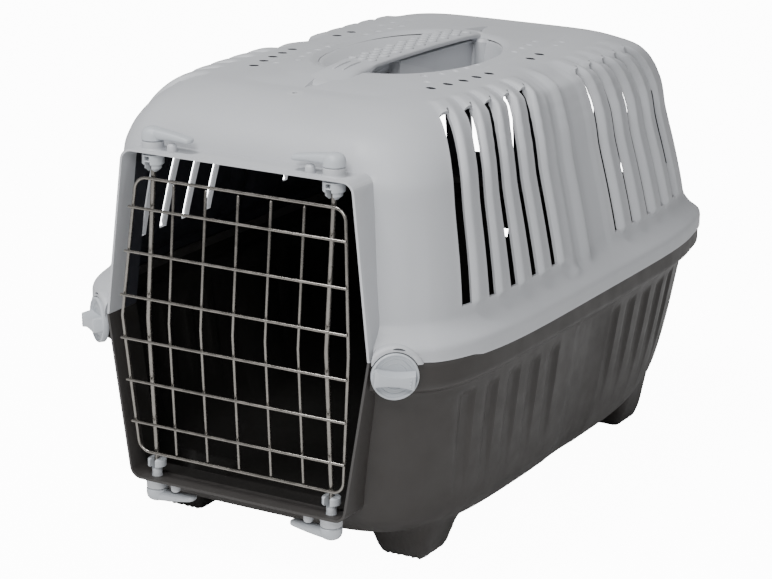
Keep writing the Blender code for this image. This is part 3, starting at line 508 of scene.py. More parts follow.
# How far the side wall stands back in mm, with a minus sign, against the station along the plan.
LOWER_SECTION_SHAPE = (
    (-0.20, 0.0),
    (-0.165, -0.5),
    (-0.09, -1.0),
    (-0.04, -3.4),
    (0.02, -4.8),
    (0.07, -5.0),
    (0.12, -4.2),
    (0.165, -3.0),
    (0.185, -2.0),
    (0.80, -2.0),
)
UPPER_SECTION_SHAPE = (
    (-0.20, 0.0),
    (-0.165, -0.6),
    (-0.115, -2.4),
    (-0.08, -2.9),
    (-0.05, -2.2),
    (-0.034, -0.6),
    (-0.018, 0.7),
    (-0.006, 0.8),
    (0.006, -0.3),
    (0.020, -2.6),
    (0.042, -4.3),
    (0.07, -5.0),
    (0.12, -4.6),
    (0.152, -4.2),
    (0.180, -2.6),
    (0.22, -2.0),
    (0.80, -2.0),
)


def soft_ridge(station):
    distance = (station - SOFT_RIDGE_STATION) * FRONT_REACH / SOFT_RIDGE_WIDTH
    return math.exp(-distance * distance)


# ---------------------------------------------------------------- top shell


SHOULDER_START = 252.0 * MM
SHOULDER_TOP = 312.0 * MM
SHOULDER_EXPONENT = 2.3
WALL_INSETS = (19.0 * MM, 17.0 * MM, 18.5 * MM)
ROOF_INSETS = (84.0 * MM, 90.0 * MM, 102.0 * MM)
# Extra lean of the side wall in mm against the height in mm.
LEAN_SHAPE = (
    (188.0, 0.0),
    (252.0, 9.0),
    (268.0, 10.6),
    (279.0, 10.0),
    (288.0, 7.8),
    (296.0, 3.8),
    (302.0, -0.6),
    (307.0, -1.6),
    (312.0, 0.0),
)
SLOT_TOP_ANGLE = 60.0


def shoulder_row(angle):
    slope = math.radians(angle)
    rise = math.sin(slope) ** (2.0 / SHOULDER_EXPONENT)
    run = 1.0 - max(0.0, math.cos(slope)) ** (2.0 / SHOULDER_EXPONENT)
    height = SHOULDER_START + (SHOULDER_TOP - SHOULDER_START) * rise
    insets = [wall + (roof - wall) * run for wall, roof in zip(WALL_INSETS, ROOF_INSETS)]
    return [height, insets[0], insets[1], insets[2]]


SLOT_TOP = shoulder_row(SLOT_TOP_ANGLE)[0]
TIP_HEIGHT = shoulder_row(76.0)[0]


def top_rows():
    """Fine levels of the top shell: (height, side inset, front inset, rear inset)."""
    start = SPLIT_HEIGHT + SHELL_GAP
    rows = [
        [start, 0.0, 0.0, 0.0],
        [start + 8.0 * MM, 0.0, 0.0, 0.0],
        [start + 11.4 * MM, 0.8 * MM, 0.8 * MM, 0.8 * MM],
        [start + 13.6 * MM, 2.8 * MM, 2.6 * MM, 3.4 * MM],
        [start + 17.0 * MM, 6.6 * MM, 5.4 * MM, 6.3 * MM],
        [start + 20.5 * MM, 9.6 * MM, 7.6 * MM, 7.4 * MM],
        [start + 24.5 * MM, 11.7 * MM, 9.2 * MM, 7.9 * MM],
        [SLOT_BOTTOM, 12.6 * MM, 9.8 * MM, 8.2 * MM],
        [196.0 * MM, 13.2 * MM, 10.4 * MM, 9.0 * MM],
        [222.0 * MM, 15.6 * MM, 13.2 * MM, 13.0 * MM],
        [SHOULDER_START, *WALL_INSETS],
    ]
    for angle in (12.0, 24.0, 36.0, 48.0, SLOT_TOP_ANGLE, 68.0, 76.0, 83.0, 90.0):
        rows.append(shoulder_row(angle))

    def spacing(row):
        if row[0] < 200.0 * MM:
            return 1.7 * MM
        if row[0] < SHOULDER_START:
            return 6.0 * MM
        return 3.0 * MM

    return fine_rows(rows, spacing)


def surface_slopes(rows):
    """Outward and upward parts of the side wall's normal at each level."""
    rows = np.array(rows)
    rise = np.gradient(rows[:, 0])
    run = np.gradient(rows[:, 1])
    length = np.maximum(np.hypot(rise, run), 1e-9)
    direction = math.copysign(1.0, rows[-1, 0] - rows[0, 0])
    return np.abs(rise) / length, direction * run / length


def slot_shift(column, height):
    """The front slots stand upright although the wall leans, so they move back towards the foot."""
    near = smooth_step(-column["along"], 0.55, 0.74) * (1.0 - smooth_step(-column["along"], 0.80, 0.97))
    return FRONT_SLOT_SHIFT * near * (1.0 - smooth_step(height, 190.0 * MM, 285.0 * MM))


def extra_lean(along, height):
    """Behind the front slots the side wall leans in further than at the front corner."""
    return shape_value(LEAN_SHAPE, height / MM) * MM * smooth_step(along, -0.95, -0.32)


def plan_point(column, row, outward, lean):
    reach = FRONT_REACH - row[2] if column["along"] < 0.0 else REAR_REACH - row[3]
    along = column["along"] + slot_shift(column, row[0]) / reach
    across = bulge(along) if column["along"] != -1.0 and abs(along) < 0.9 else column["across"]
    half = HALF_WIDTH - row[1] + outward * lean[0] - extra_lean(column["along"], row[0])
    return [half * across, reach * along, row[0] + outward * lean[1]]


def top_relief(column, height):
    """How far the side of the top shell stands out of its smooth base at one point."""
    relief = shape_value(UPPER_SECTION_SHAPE, column["along"]) * MM
    relief *= smooth_step(height, 174.0 * MM, SLOT_BOTTOM)
    relief *= 1.0 - smooth_step(height, 306.0 * MM, SHOULDER_TOP)
    if abs(column["along"]) < 0.3:
        ridge = smooth_step(height, 173.0 * MM, 178.0 * MM)
        ridge *= 1.0 - smooth_step(height, 292.0 * MM, 307.0 * MM)
        relief += SOFT_RIDGE_HEIGHT * soft_ridge(column["along"]) * ridge
    number = column["slot"]
    if number is None:
        return relief
    offset = column["offset"]
    foot = smooth_step(height, SLOT_BOTTOM - 4.0 * MM, SLOT_BOTTOM + 2.5 * MM)
    if height < SLOT_TOP + 0.5 * MM:
        if offset > SLOT_HALF - 0.1:
            relief += RIB_HEIGHT * foot * shape_value(RIB_SHAPE, offset)
        if height > SLOT_TOP - 0.5 * MM and offset < SLOT_HALF - 0.1:
            relief += RIB_HEIGHT * shape_value(LOBE_SHAPE, offset)
        return relief
    fade = min(1.0, (height - SLOT_TOP) / (TIP_HEIGHT - SLOT_TOP))
    round_end = math.sqrt(max(0.0, 1.0 - fade * fade))
    return relief + RIB_HEIGHT * round_end * shape_value(LOBE_SHAPE, offset)


def roof_height(share, x, y):
    """Height of the roof's crown; share is 1 at the shoulder and 0 along the ridge line."""
    crown = SHOULDER_TOP + (ROOF_HEIGHT - SHOULDER_TOP) * (1.0 - share * share)
    crown -= REAR_ROOF_DROP * smooth_step(y, 20.0 * MM, 150.0 * MM) * (1.0 - share * share)
    beside = smooth_step(abs(x), 55.0 * MM, 68.0 * MM)
    groove = math.exp(-(((share - ROOF_GROOVE_SHARE) / 0.02) ** 2))
    return crown - ROOF_GROOVE_DEPTH * groove * beside


def walled_skin(name, outer, inner, open_faces, materials):
    """Outer and inner half grids joined along their free edges, and mirrored in X.

    Faces of the outer grid take the first material and faces of the inner grid the second.
    """
    shape = bmesh.new()
    outside = [[shape.verts.new(point) for point in ring] for ring in outer]
    inside = [[shape.verts.new(point) for point in ring] for ring in inner]

    def is_open(ring, index):
        missing = ring < 0 or ring >= len(outer) - 1
        return missing or (ring, index) in open_faces

    def wall(start, end):
        corners = (outside[start[0]][start[1]], outside[end[0]][end[1]])
        shape.faces.new((corners[1], corners[0], inside[start[0]][start[1]], inside[end[0]][end[1]]))

    last = len(outer[0]) - 1
    for ring in range(len(outer) - 1):
        for index in range(last):
            if is_open(ring, index):
                continue
            corners = ((ring, index), (ring, index + 1), (ring + 1, index + 1), (ring + 1, index))
            shape.faces.new([outside[row][column] for row, column in corners])
            # Inner faces take the second material, which both shells use as painted shade.
            face = shape.faces.new([inside[row][column] for row, column in reversed(corners)])
            face.material_index = 1
            if is_open(ring - 1, index):
                wall(corners[0], corners[1])
            if ring < len(outer) - 2 and is_open(ring + 1, index):
                wall(corners[2], corners[3])
            if index > 0 and is_open(ring, index - 1):
                wall(corners[3], corners[0])
            if index < last - 1 and is_open(ring, index + 1):
                wall(corners[1], corners[2])
    loose = [vertex for vertex in shape.verts if not vertex.link_faces]
    bmesh.ops.delete(shape, geom=loose, context="VERTS")
    for vertex in shape.verts:
        if abs(vertex.co.x) < 0.02 * MM:
            vertex.co.x = 0.0
    copied = bmesh.ops.duplicate(shape, geom=shape.verts[:] + shape.edges[:] + shape.faces[:])["geom"]
    turned_faces = []
    for part in copied:
        if isinstance(part, bmesh.types.BMVert):
            part.co.x = -part.co.x
        if isinstance(part, bmesh.types.BMFace):
            turned_faces.append(part)
    bmesh.ops.reverse_faces(shape, faces=turned_faces)
    bmesh.ops.remove_doubles(shape, verts=shape.verts[:], dist=0.01 * MM)
    return from_bmesh(name, shape, materials)


def front_step(point, below_rim):
    """The rim edge is higher in front of the small step behind the front corners."""
    share = 1.0 - smooth_step(point[1], STEP_REACH - STEP_HALF_LENGTH, STEP_REACH + STEP_HALF_LENGTH)
    rise = FRONT_SPLIT_RISE * share
    rise += COLLAR_SPLIT_RISE * (1.0 - smooth_step(point[1], -FRONT_REACH + 4.0 * MM, CORNER_REACH))
    point[2] += rise * max(0.0, 1.0 - below_rim / STEP_FADE)
    return point


def roof_rings(edge, height_at):
    """Rings that close a plan from its edge in to a ridge line along the middle."""
    rings = []
    for step in range(1, ROOF_STEPS + 1):
        share = 1.0 - step / ROOF_STEPS
        ring = []
        for point in edge:
            spine = point[1] * RIDGE_SHARE
            x = point[0] * share
            y = spine + (point[1] - spine) * share
            ring.append([x, y, height_at(share, x, y)])
        rings.append(ring)
    return rings


def skin_grid(rows, relief_at, thickness):
    """Half grid of a shell; thickness moves it inwards along the wall's normal."""
    outs, ups = surface_slopes(rows)
    grid = []
    for ring, row in enumerate(rows):
        shift = thickness * outs[ring]
        drop = 0.0 if ring == 0 else thickness * ups[ring]
        shifted = [row[0] - drop, row[1] + shift, row[2] + shift, row[3] + shift]
        from_rim = abs(row[0] - rows[0][0])
        points = []
        for column in COLUMNS:
            point = plan_point(column, shifted, relief_at(column, row[0]), (outs[ring], ups[ring]))
            points.append(front_step(point, from_rim))
        grid.append(points)
    return grid


def top_open_faces(rows):
    """Grid faces left out for the vent slots."""
    open_faces = set()
    for ring, row in enumerate(rows):
        for index, column in enumerate(COLUMNS):
            inside_slot = column["slot"] is not None and column["offset"] < SLOT_HALF - 0.1
            if inside_slot and SLOT_BOTTOM - 0.2 * MM < row[0] < SLOT_TOP - 0.2 * MM:
                open_faces.add((ring, index))
    return open_faces


# ---------------------------------------------------------------- corner knobs


KNOB_PLACES = {
    -1.0: Vector(JOINTS["knob_left_turn"]["pos_m"]),
    1.0: Vector(JOINTS["knob_right_turn"]["pos_m"]),
}
KNOB_FACING = math.radians(37.0)
KNOB_REST_TURN = math.radians(-6.0)
KNOB_RADIUS = 15.7 * MM
KNOB_THICKNESS = 5.0 * MM
KNOB_GRIP_HEIGHT = 7.0 * MM
KNOB_SHAFT_RADIUS = 4.0 * MM
KNOB_SHAFT_END = -14.3 * MM
KNOB_CLEARANCE = 0.7 * MM
BOSS_RADIUS = 20.3 * MM
BOSS_FACE = -1.7 * MM
BOSS_BACK = -17.0 * MM
BOSS_BLOCK = 30.0 * MM
BOSS_LOWEST = 40.0 * MM
BOSS_INNER = 80.0 * MM
BOSS_OUTER = 104.2 * MM
BOSS_SLOT_RADIUS = 18.1 * MM
BOSS_SLOT_DEPTH = 3.0 * MM
BOSS_SLOT_HALF = 0.75 * MM


def knob_matrix(side, turn=0.0):
    """Local X along the knob's face, Y up and Z outwards."""
    outward = Vector((side * math.sin(KNOB_FACING), -math.cos(KNOB_FACING), 0.0))
    up = Vector((0.0, 0.0, 1.0))
    facing = axes(up.cross(outward), up, outward)
    return Matrix.Translation(KNOB_PLACES[side]) @ facing @ Matrix.Rotation(side * turn, 4, "Z")


def knob_boss(side):
    """The raised seat on the top shell that wraps the upper half of the knob."""
    profile = [
        (0.5 * MM, BOSS_BACK),
        (BOSS_RADIUS, BOSS_BACK),
        (BOSS_RADIUS, BOSS_FACE - 2.6 * MM),
        (BOSS_RADIUS - 0.4 * MM, BOSS_FACE - 1.3 * MM),
        (BOSS_RADIUS - 1.2 * MM, BOSS_FACE - 0.4 * MM),
        (BOSS_RADIUS - 2.2 * MM, BOSS_FACE),
        (0.5 * MM, BOSS_FACE),
    ]
    boss = moved(turned("knob_boss", profile, [GREY], sides=72), knob_matrix(side))
    centre = KNOB_PLACES[side]
    front = centre.y - BOSS_BLOCK
    back = centre.y + BOSS_BLOCK
    high = SPLIT_HEIGHT + SHELL_GAP + FRONT_SPLIT_RISE
    low = high - BOSS_LOWEST
    left = centre.x - BOSS_BLOCK
    right = centre.x + BOSS_BLOCK
    below_rim = [(left, low), (left, high), (right, high), (right, low)]
    cut(boss, prism_y("below_rim", below_rim, front, back, [GREY]))
    low = 130.0 * MM
    high = 190.0 * MM
    inner = side * BOSS_INNER
    outer = side * BOSS_OUTER
    beside_collar = [(inner, low), (inner, high), (outer, high), (outer, low)]
    cut(boss, prism_y("beside_collar", beside_collar, front, back, [GREY]))
    return boss


def knob_pocket(side, materials):
    """The hole that the knob sits in."""
    radius = KNOB_RADIUS + KNOB_CLEARANCE
    low = -KNOB_THICKNESS - 0.3 * MM
    return moved(drill("knob_pocket", radius, low, 20.0 * MM, materials, 64), knob_matrix(side))


def knob_boss_slot(side):
    """A short curved slot in the boss above the knob."""
    rings = []
    steps = 10
    for step in range(steps + 1):
        share = 2.0 * step / steps - 1.0
        angle = math.radians(90.0 - side * (8.0 + 13.0 * share))
        half = BOSS_SLOT_HALF * math.sqrt(max(0.1, 1.0 - share * share))
        near = BOSS_SLOT_RADIUS - half
        far = BOSS_SLOT_RADIUS + half
        ring = []
        for radius, end in ((near, 1.0), (far, 1.0), (far, -1.0), (near, -1.0)):
            height = BOSS_FACE + end * BOSS_SLOT_DEPTH
            ring.append((radius * math.cos(angle), radius * math.sin(angle), height))
        rings.append(ring)
    return moved(loft("boss_slot", rings, [GREY]), knob_matrix(side))


def knob(side, label):
    """A round knob with a dished face, fine arcs and a waisted grip bar."""
    face = [
        (0.5, -1.9),
        (8.3, -1.75),
        (8.6, -1.35),
        (9.0, -1.70),
        (11.3, -1.55),
        (11.6, -1.10),
        (12.0, -1.45),
        (13.6, -0.95),
        (14.2, -0.25),
        (14.7, 0.0),
        (15.3, -0.15),
        (15.7, -0.7),
        (15.7, -3.8),
        (15.3, -4.6),
        (14.6, -5.0),
        (4.0, -5.0),
    ]
    profile = [(radius * MM, height * MM) for radius, height in face]
    profile.append((KNOB_SHAFT_RADIUS, KNOB_SHAFT_END))
    profile.reverse()
    body = turned(f"knob_{label}_moulding", profile, [LATCH], sides=72, smooth_angle=30.0)
    rings = []
    steps = 18
    for step in range(steps + 1):
        share = 2.0 * step / steps - 1.0
        front_half = (3.1 + 2.0 * share * share) * MM
        base_half = front_half + 1.8 * MM
        middle = -1.3 * MM
        top = KNOB_GRIP_HEIGHT - 0.5 * share * share * MM
        x_front = (13.2 * share - side * 0.9) * MM
        x_base = (14.1 * share - side * 0.7) * MM
        limit = 0.98 * math.sqrt(max(0.0, KNOB_RADIUS**2 - x_base**2))
        base_half = min(base_half, limit - 1.3 * MM)
        rings.append(
            [
                (x_base, middle - base_half, -2.4 * MM),
                (x_base, middle + base_half, -2.4 * MM),
                (x_front, middle + front_half, top),
                (x_front, middle - front_half, top),
            ]
        )
    grip = loft("knob_grip", rings, [LATCH])
    soften(grip, 0.55 * MM, 3)
    cut(body, grip, "UNION")
    dots = []
    dot_profile = [(0.75 * MM, 0.0), (0.7 * MM, 7.1 * MM), (0.3 * MM, 7.3 * MM)]
    for y in (0.6, -1.5, -3.6):
        dot = turned("grip_dot", dot_profile, [LATCH], sides=16)
        dot.location = (side * 9.4 * MM, y * MM, 0.0)
        settle(dot)
        dots.append(dot)
    cut(body, join("grip_dots", dots), "UNION")
    return moved(body, knob_matrix(side, KNOB_REST_TURN), 30.0)


def place_knobs():
    for label, side in (("left", -1.0), ("right", 1.0)):
        item = knob(side, label)
        hand_over(item, f"corner_knob_{label}", f"knob_{label}")
        cam = frame["nodes"][f"knob_cam_{label}"]
        # The knob cams take the charcoal moulding as painted shade, so they stay dark inside the carrier.
        cam.data.materials.clear()
        cam.data.materials.append(CHARCOAL)


# ---------------------------------------------------------------- collar round the door


COLLAR_FRONT = -FRONT_REACH
COLLAR_DEPTH = 32.0 * MM
COLLAR_WALL = 1.7 * MM
COLLAR_MIDDLE = SPLIT_HEIGHT + FRONT_SPLIT_RISE + COLLAR_SPLIT_RISE + 0.2 * MM
COLLAR_MIDDLE_HALF = 102.6 * MM
COLLAR_TOP = JOINTS["latch_top_left_turn"]["pos_m"][2] + 1.4 * MM
COLLAR_TOP_HALF = 90.0 * MM
COLLAR_BOTTOM = JOINTS["latch_bottom_left_turn"]["pos_m"][2]
COLLAR_BOTTOM_HALF = 86.0 * MM
COLLAR_RADIUS = 9.0 * MM


def collar_outline(inset, upper, reach_past=0.0):
    """Half of the eight-sided outline as (x, z), from its right middle over to its left middle."""
    side = 1.0 if upper else -1.0
    end_height = (COLLAR_TOP if upper else COLLAR_BOTTOM) - side * inset
    end_half = (COLLAR_TOP_HALF if upper else COLLAR_BOTTOM_HALF) - inset
    middle_half = COLLAR_MIDDLE_HALF - inset
    gap = 0.5 * SHELL_GAP
    radius = COLLAR_RADIUS - inset
    lean = math.atan2(middle_half - end_half, abs(end_height - COLLAR_MIDDLE))
    half = [(middle_half, COLLAR_MIDDLE + side * (gap - reach_past))]
    if reach_past > 0.0:
        half.append((middle_half, COLLAR_MIDDLE))
    steps = 8
    for step in range(steps + 1):
        angle = lean + (math.pi / 2.0 - lean) * step / steps
        x = end_half - radius + radius * math.cos(angle)
        z = end_height - side * (radius - radius * math.sin(angle))
        half.append((x, z))
    return half + [(-x, z) for x, z in reversed(half)]


def prism_y(name, outline, start, end, materials):
    rings = [[(x, y, z) for x, z in outline] for y in (start, end)]
    return loft(name, rings, materials)


COLLAR_LIT_DEPTH = 17.0 * MM


def add_collar(shell, upper, materials):
    """The lip round the door; behind its first stretch the opening's walls take the second material,
    painted shade where light does not reach.
    """
    back = COLLAR_FRONT + COLLAR_DEPTH
    plug = prism_y("collar_body", collar_outline(0.0, upper), COLLAR_FRONT, back, materials)
    cut(shell, plug, "UNION")
    past = 20.0 * MM
    outline = collar_outline(COLLAR_WALL, upper, past)
    rings = []
    for reach in (-10.0 * MM, COLLAR_LIT_DEPTH, 60.0 * MM):
        rings.append([(x, COLLAR_FRONT + reach, z) for x, z in outline])
    opening = loft("collar_opening", rings, materials)
    # Past the lit depth the opening's walls take painted shade.
    for polygon in opening.data.polygons:
        if polygon.center.y > COLLAR_FRONT + COLLAR_LIT_DEPTH:
            polygon.material_index = 1
    cut(shell, opening)


# ---------------------------------------------------------------- handle pit


PIT_HALF = 58.0 * MM
PIT_FRONT = -84.0 * MM
PIT_REAR = 80.0 * MM
PIT_FLOOR = 284.0 * MM
WEB_HALF = 8.0 * MM
WEB_TOP = 312.6 * MM
WEB_FLANGE = 1.6 * MM
WEB_FRONT = -34.0 * MM
STRAP_HALF_WIDTH = 7.0 * MM
STRAP_HOLE_RADIUS = 1.7 * MM

REAR_VENTS = (36.7 * MM, 66.7 * MM, 96.7 * MM)
REAR_VENT_HALF = 4.2 * MM
REAR_VENT_LOW = 184.0 * MM
REAR_VENT_HIGH = 278.0 * MM
REAR_WINDOW_LOW = 117.3 * MM
REAR_WINDOW_HIGH = 124.3 * MM
REAR_CUT_DEPTH = 60.0 * MM


def boat(half, front, rear, steps=40):
    """Closed pointed oval as (x, y)."""
    middle = (front + rear) / 2.0
    reach = (rear - front) / 2.0
    right = []
    for step in range(steps + 1):
        angle = math.pi * (step / steps - 0.5)
        right.append((half * abs(math.cos(angle)) ** 0.8, middle + reach * math.sin(angle)))
    return right[:-1] + [(-x, y) for x, y in reversed(right[1:])]


def boat_solid(name, layers, materials):
    """A stack of boat outlines: layers of (height, grow) where grow widens the outline."""
    rings = []
    for height, grow in layers:
        outline = boat(PIT_HALF + grow, PIT_FRONT - grow, PIT_REAR + grow)
        rings.append([(x, y, height) for x, y in outline])
    return loft(name, rings, materials)


def half_of(solid, side, materials):
    """Keep the part of a solid on one side of the middle plane."""
    far = -side * 140.0 * MM
    outline = [(0.0, 200.0 * MM), (0.0, 400.0 * MM), (far, 400.0 * MM), (far, 200.0 * MM)]
    return cut(solid, prism_y("half_block", outline, -200.0 * MM, 200.0 * MM, materials))


def upright_ring(half, y, low, high):
    return [(-half, y, low), (-half, y, high), (half, y, high), (half, y, low)]


def add_pit(shell, materials):
    """The right lobe of the pit is deep; the left one is a shallow soft bowl."""
    flare = [
        (ROOF_HEIGHT - 3.0 * MM, 1.2 * MM),
        (ROOF_HEIGHT - 2.0 * MM, 3.6 * MM),
        (ROOF_HEIGHT - 1.2 * MM, 7.0 * MM),
        (ROOF_HEIGHT - 0.6 * MM, 11.5 * MM),
        (ROOF_HEIGHT + 0.2 * MM, 17.0 * MM),
        (ROOF_HEIGHT + 6.0 * MM, 24.0 * MM),
    ]
    deep = [
        (PIT_FLOOR, -9.0 * MM),
        (PIT_FLOOR + 1.5 * MM, -6.0 * MM),
        (PIT_FLOOR + 6.0 * MM, -4.0 * MM),
        (ROOF_HEIGHT - 6.5 * MM, -1.4 * MM),
        (ROOF_HEIGHT - 4.4 * MM, -0.4 * MM),
    ]
    shallow = [
        (ROOF_HEIGHT - 12.4 * MM, -26.0 * MM),
        (ROOF_HEIGHT - 12.0 * MM, -20.0 * MM),
        (ROOF_HEIGHT - 10.4 * MM, -14.0 * MM),
        (ROOF_HEIGHT - 8.0 * MM, -9.0 * MM),
        (ROOF_HEIGHT - 5.6 * MM, -4.5 * MM),
        (ROOF_HEIGHT - 4.0 * MM, -0.8 * MM),
    ]
    deep_tub = [
        (PIT_FLOOR - WALL, -6.0 * MM),
        (PIT_FLOOR + 4.0 * MM, -1.0 * MM),
        (ROOF_HEIGHT - 4.6 * MM, 3.0 * MM),
    ]
    shallow_tub = [
        (ROOF_HEIGHT - 12.4 * MM - WALL, -24.0 * MM),
        (ROOF_HEIGHT - 8.6 * MM - WALL, -7.0 * MM),
        (ROOF_HEIGHT - 4.6 * MM, 3.0 * MM),
    ]
    for side, layers in ((1.0, deep_tub), (-1.0, shallow_tub)):
        cut(shell, half_of(boat_solid("pit_tub", layers, materials), side, materials), "UNION")
    for side, layers in ((1.0, deep), (-1.0, shallow)):
        cut(shell, half_of(boat_solid("pit_cavity", layers + flare, materials), side, materials))
    web_rings = []
    flange_rings = []
    for y, top in ((WEB_FRONT, WEB_TOP), (PIT_REAR, WEB_TOP - 2.5 * MM)):
        low = PIT_FLOOR - 1.0 * MM
        under = top - WEB_FLANGE
        web_rings.append(upright_ring(WEB_HALF, y, low, under))
        flange_rings.append(upright_ring(WEB_HALF + 1.2 * MM, y, under - 0.1 * MM, top))
    web = loft("pit_web", web_rings, materials)
    cut(web, soften(loft("web_flange", flange_rings, materials), 0.5 * MM), "UNION")
    cut(shell, web, "UNION")
    top = ROOF_HEIGHT - 3.6 * MM
    profile = [(6.0 * MM, PIT_FLOOR - 1.0 * MM), (6.0 * MM, top - 2.0 * MM), (4.4 * MM, top)]
    end_post = turned("pit_rear_post", profile, materials)
    place = Matrix.Translation((16.0 * MM, PIT_REAR - 1.0 * MM, 0.0))
    cut(shell, moved(end_post, place), "UNION")


def strap_recess(materials, apex, back, floor_apex, floor_back):
    """A shallow wedge in the roof in front of or behind the handle, deepest next to it."""
    high = ROOF_HEIGHT + 8.0 * MM
    wide = STRAP_HALF_WIDTH
    lean = math.copysign(6.0 * MM, back - apex)
    levels = (
        (apex + 0.35 * lean, floor_apex, 0.6 * wide, floor_back),
        (apex, floor_apex + 0.8 * MM, wide, floor_back + 3.4 * MM),
        (apex - lean, high, 1.9 * wide, high),
    )
    rings = []
    for tip, tip_height, half, back_height in levels:
        rings.append([(0.0, tip, tip_height), (-half, back, back_height), (half, back, back_height)])
    return loft("strap_recess", rings, materials)


def lens(name, place, half_length, half_width, layers, materials):
    """A lens-shaped cutter: layers of (height, size factor) stacked at one place of the roof."""
    rings = []
    for height, factor in layers:
        ring = []
        for step in range(20):
            angle = 2.0 * math.pi * step / 20
            along = factor * half_length * math.cos(angle)
            across = factor * half_width * signed_power(math.sin(angle), 1.4)
            ring.append((place[0] + along, place[1] + across, height))
        rings.append(ring)
    return loft(name, rings, materials)


# Places in mm of the holes and dimples on the right half of the roof; the left half mirrors them.
VENT_HOLES = (
    (70.4, -102.8),
    (73.7, -84.5),
    (76.7, -67.8),
    (78.5, -51.8),
    (80.0, -36.0),
    (80.2, 28.0),
    (78.5, 46.0),
)
DIMPLES = (
    (60.3, -90.1),
    (51.0, -76.0),
    (56.0, -61.5),
    (59.4, -47.4),
    (60.4, -33.2),
    (61.0, -18.3),
    (73.4, 82.4),
    (71.7, 96.8),
    (61.6, 38.8),
    (59.7, 54.3),
    (58.2, 68.8),
    (56.0, 83.4),
)


def vent_holes(materials):
    """Lens-shaped holes through the roof; their walls take the dark inside material, painted shade that
    keeps them from looking lit.
    """
    cutters = []
    for side in (-1.0, 1.0):
        for x, y in VENT_HOLES:
            place = (side * x * MM, y * MM)
            through = ((ROOF_HEIGHT - 15.0 * MM, 1.0), (ROOF_HEIGHT + 6.0 * MM, 1.0))
            cutters.append(lens("vent_hole", place, 4.0 * MM, 2.7 * MM, through, materials))
    holes = join("vent_holes", cutters)
    for polygon in holes.data.polygons:
        polygon.material_index = 1
    return holes


def dimples(materials):
    """Shallow lens-shaped dimples in the roof beside the pit, as one cutter."""
    cutters = []
    for side in (-1.0, 1.0):
        for x, y in DIMPLES:
            place = (side * x * MM, y * MM)
            floor = ROOF_HEIGHT - 3.4 * MM - 0.9 * MM * smooth_step(y * MM, 30.0 * MM, 110.0 * MM)
            dish = [(floor, 0.35), (floor + 0.5 * MM, 0.75), (floor + 1.3 * MM, 1.0)]
            dish.append((floor + 5.0 * MM, 1.2))
            cutters.append(lens("dimple", place, 3.6 * MM, 2.3 * MM, dish, materials))
    return join("roof_dimples", cutters)


def rear_openings(centres, low, high, materials):
    """Upright slots through the rear wall, as one cutter."""
    start = REAR_REACH - REAR_CUT_DEPTH
    end = REAR_REACH + 6.0 * MM
    blocks = []
    for middle in centres:
        for side in (-1.0, 1.0):
            left = side * middle - REAR_VENT_HALF
            right = side * middle + REAR_VENT_HALF
            outline = [(left, low), (left, high), (right, high), (right, low)]
            blocks.append(prism_y("rear_slot", outline, start, end, materials))
    return join("rear_slots", blocks)


def build_top_shell():
    rows = top_rows()
    outer = skin_grid(rows, top_relief, 0.0)
    outer += roof_rings(outer[-1], roof_height)
    inner = skin_grid(rows, lambda column, height: 0.9 * top_relief(column, height), WALL)
    inner += roof_rings(inner[-1], lambda share, x, y: roof_height(share, x, y) - WALL)
    # The inner faces of the top shell take painted shade through the second material.
    shell = walled_skin("top_shell_moulding", outer, inner, top_open_faces(rows), [GREY, GREY_INSIDE_PAINTED_SHADE])
    add_collar(shell, True, [GREY, GREY_INSIDE_PAINTED_SHADE])
    add_pit(shell, [GREY])
    cut(shell, vent_holes([GREY, GREY_INSIDE_PAINTED_SHADE]))
    cut(shell, dimples([GREY]))
    cut(shell, rear_openings(REAR_VENTS, REAR_VENT_LOW, REAR_VENT_HIGH, [GREY]))
    front = strap_recess([GREY], -168.0 * MM, -126.0 * MM, 313.0 * MM, ROOF_HEIGHT - 4.6 * MM)
    cut(shell, front)
    rear = strap_recess([GREY], 117.0 * MM, 92.0 * MM, 310.4 * MM, ROOF_HEIGHT - 6.4 * MM)
    cut(shell, rear)
    cut(shell, latch_bores("top"))
    for y in (-163.0 * MM, 109.0 * MM):
        low = ROOF_HEIGHT - 20.0 * MM
        high = ROOF_HEIGHT + 10.0 * MM
        hole = drill("strap_hole", STRAP_HOLE_RADIUS, low, high, [GREY], 24)
        cut(shell, moved(hole, Matrix.Translation((0.0, y, 0.0))))
    for side in (-1.0, 1.0):
        cut(shell, knob_boss(side), "UNION")
        cut(shell, knob_pocket(side, [GREY]))
        cut(shell, knob_boss_slot(side))
    return shell


# ---------------------------------------------------------------- bottom shell


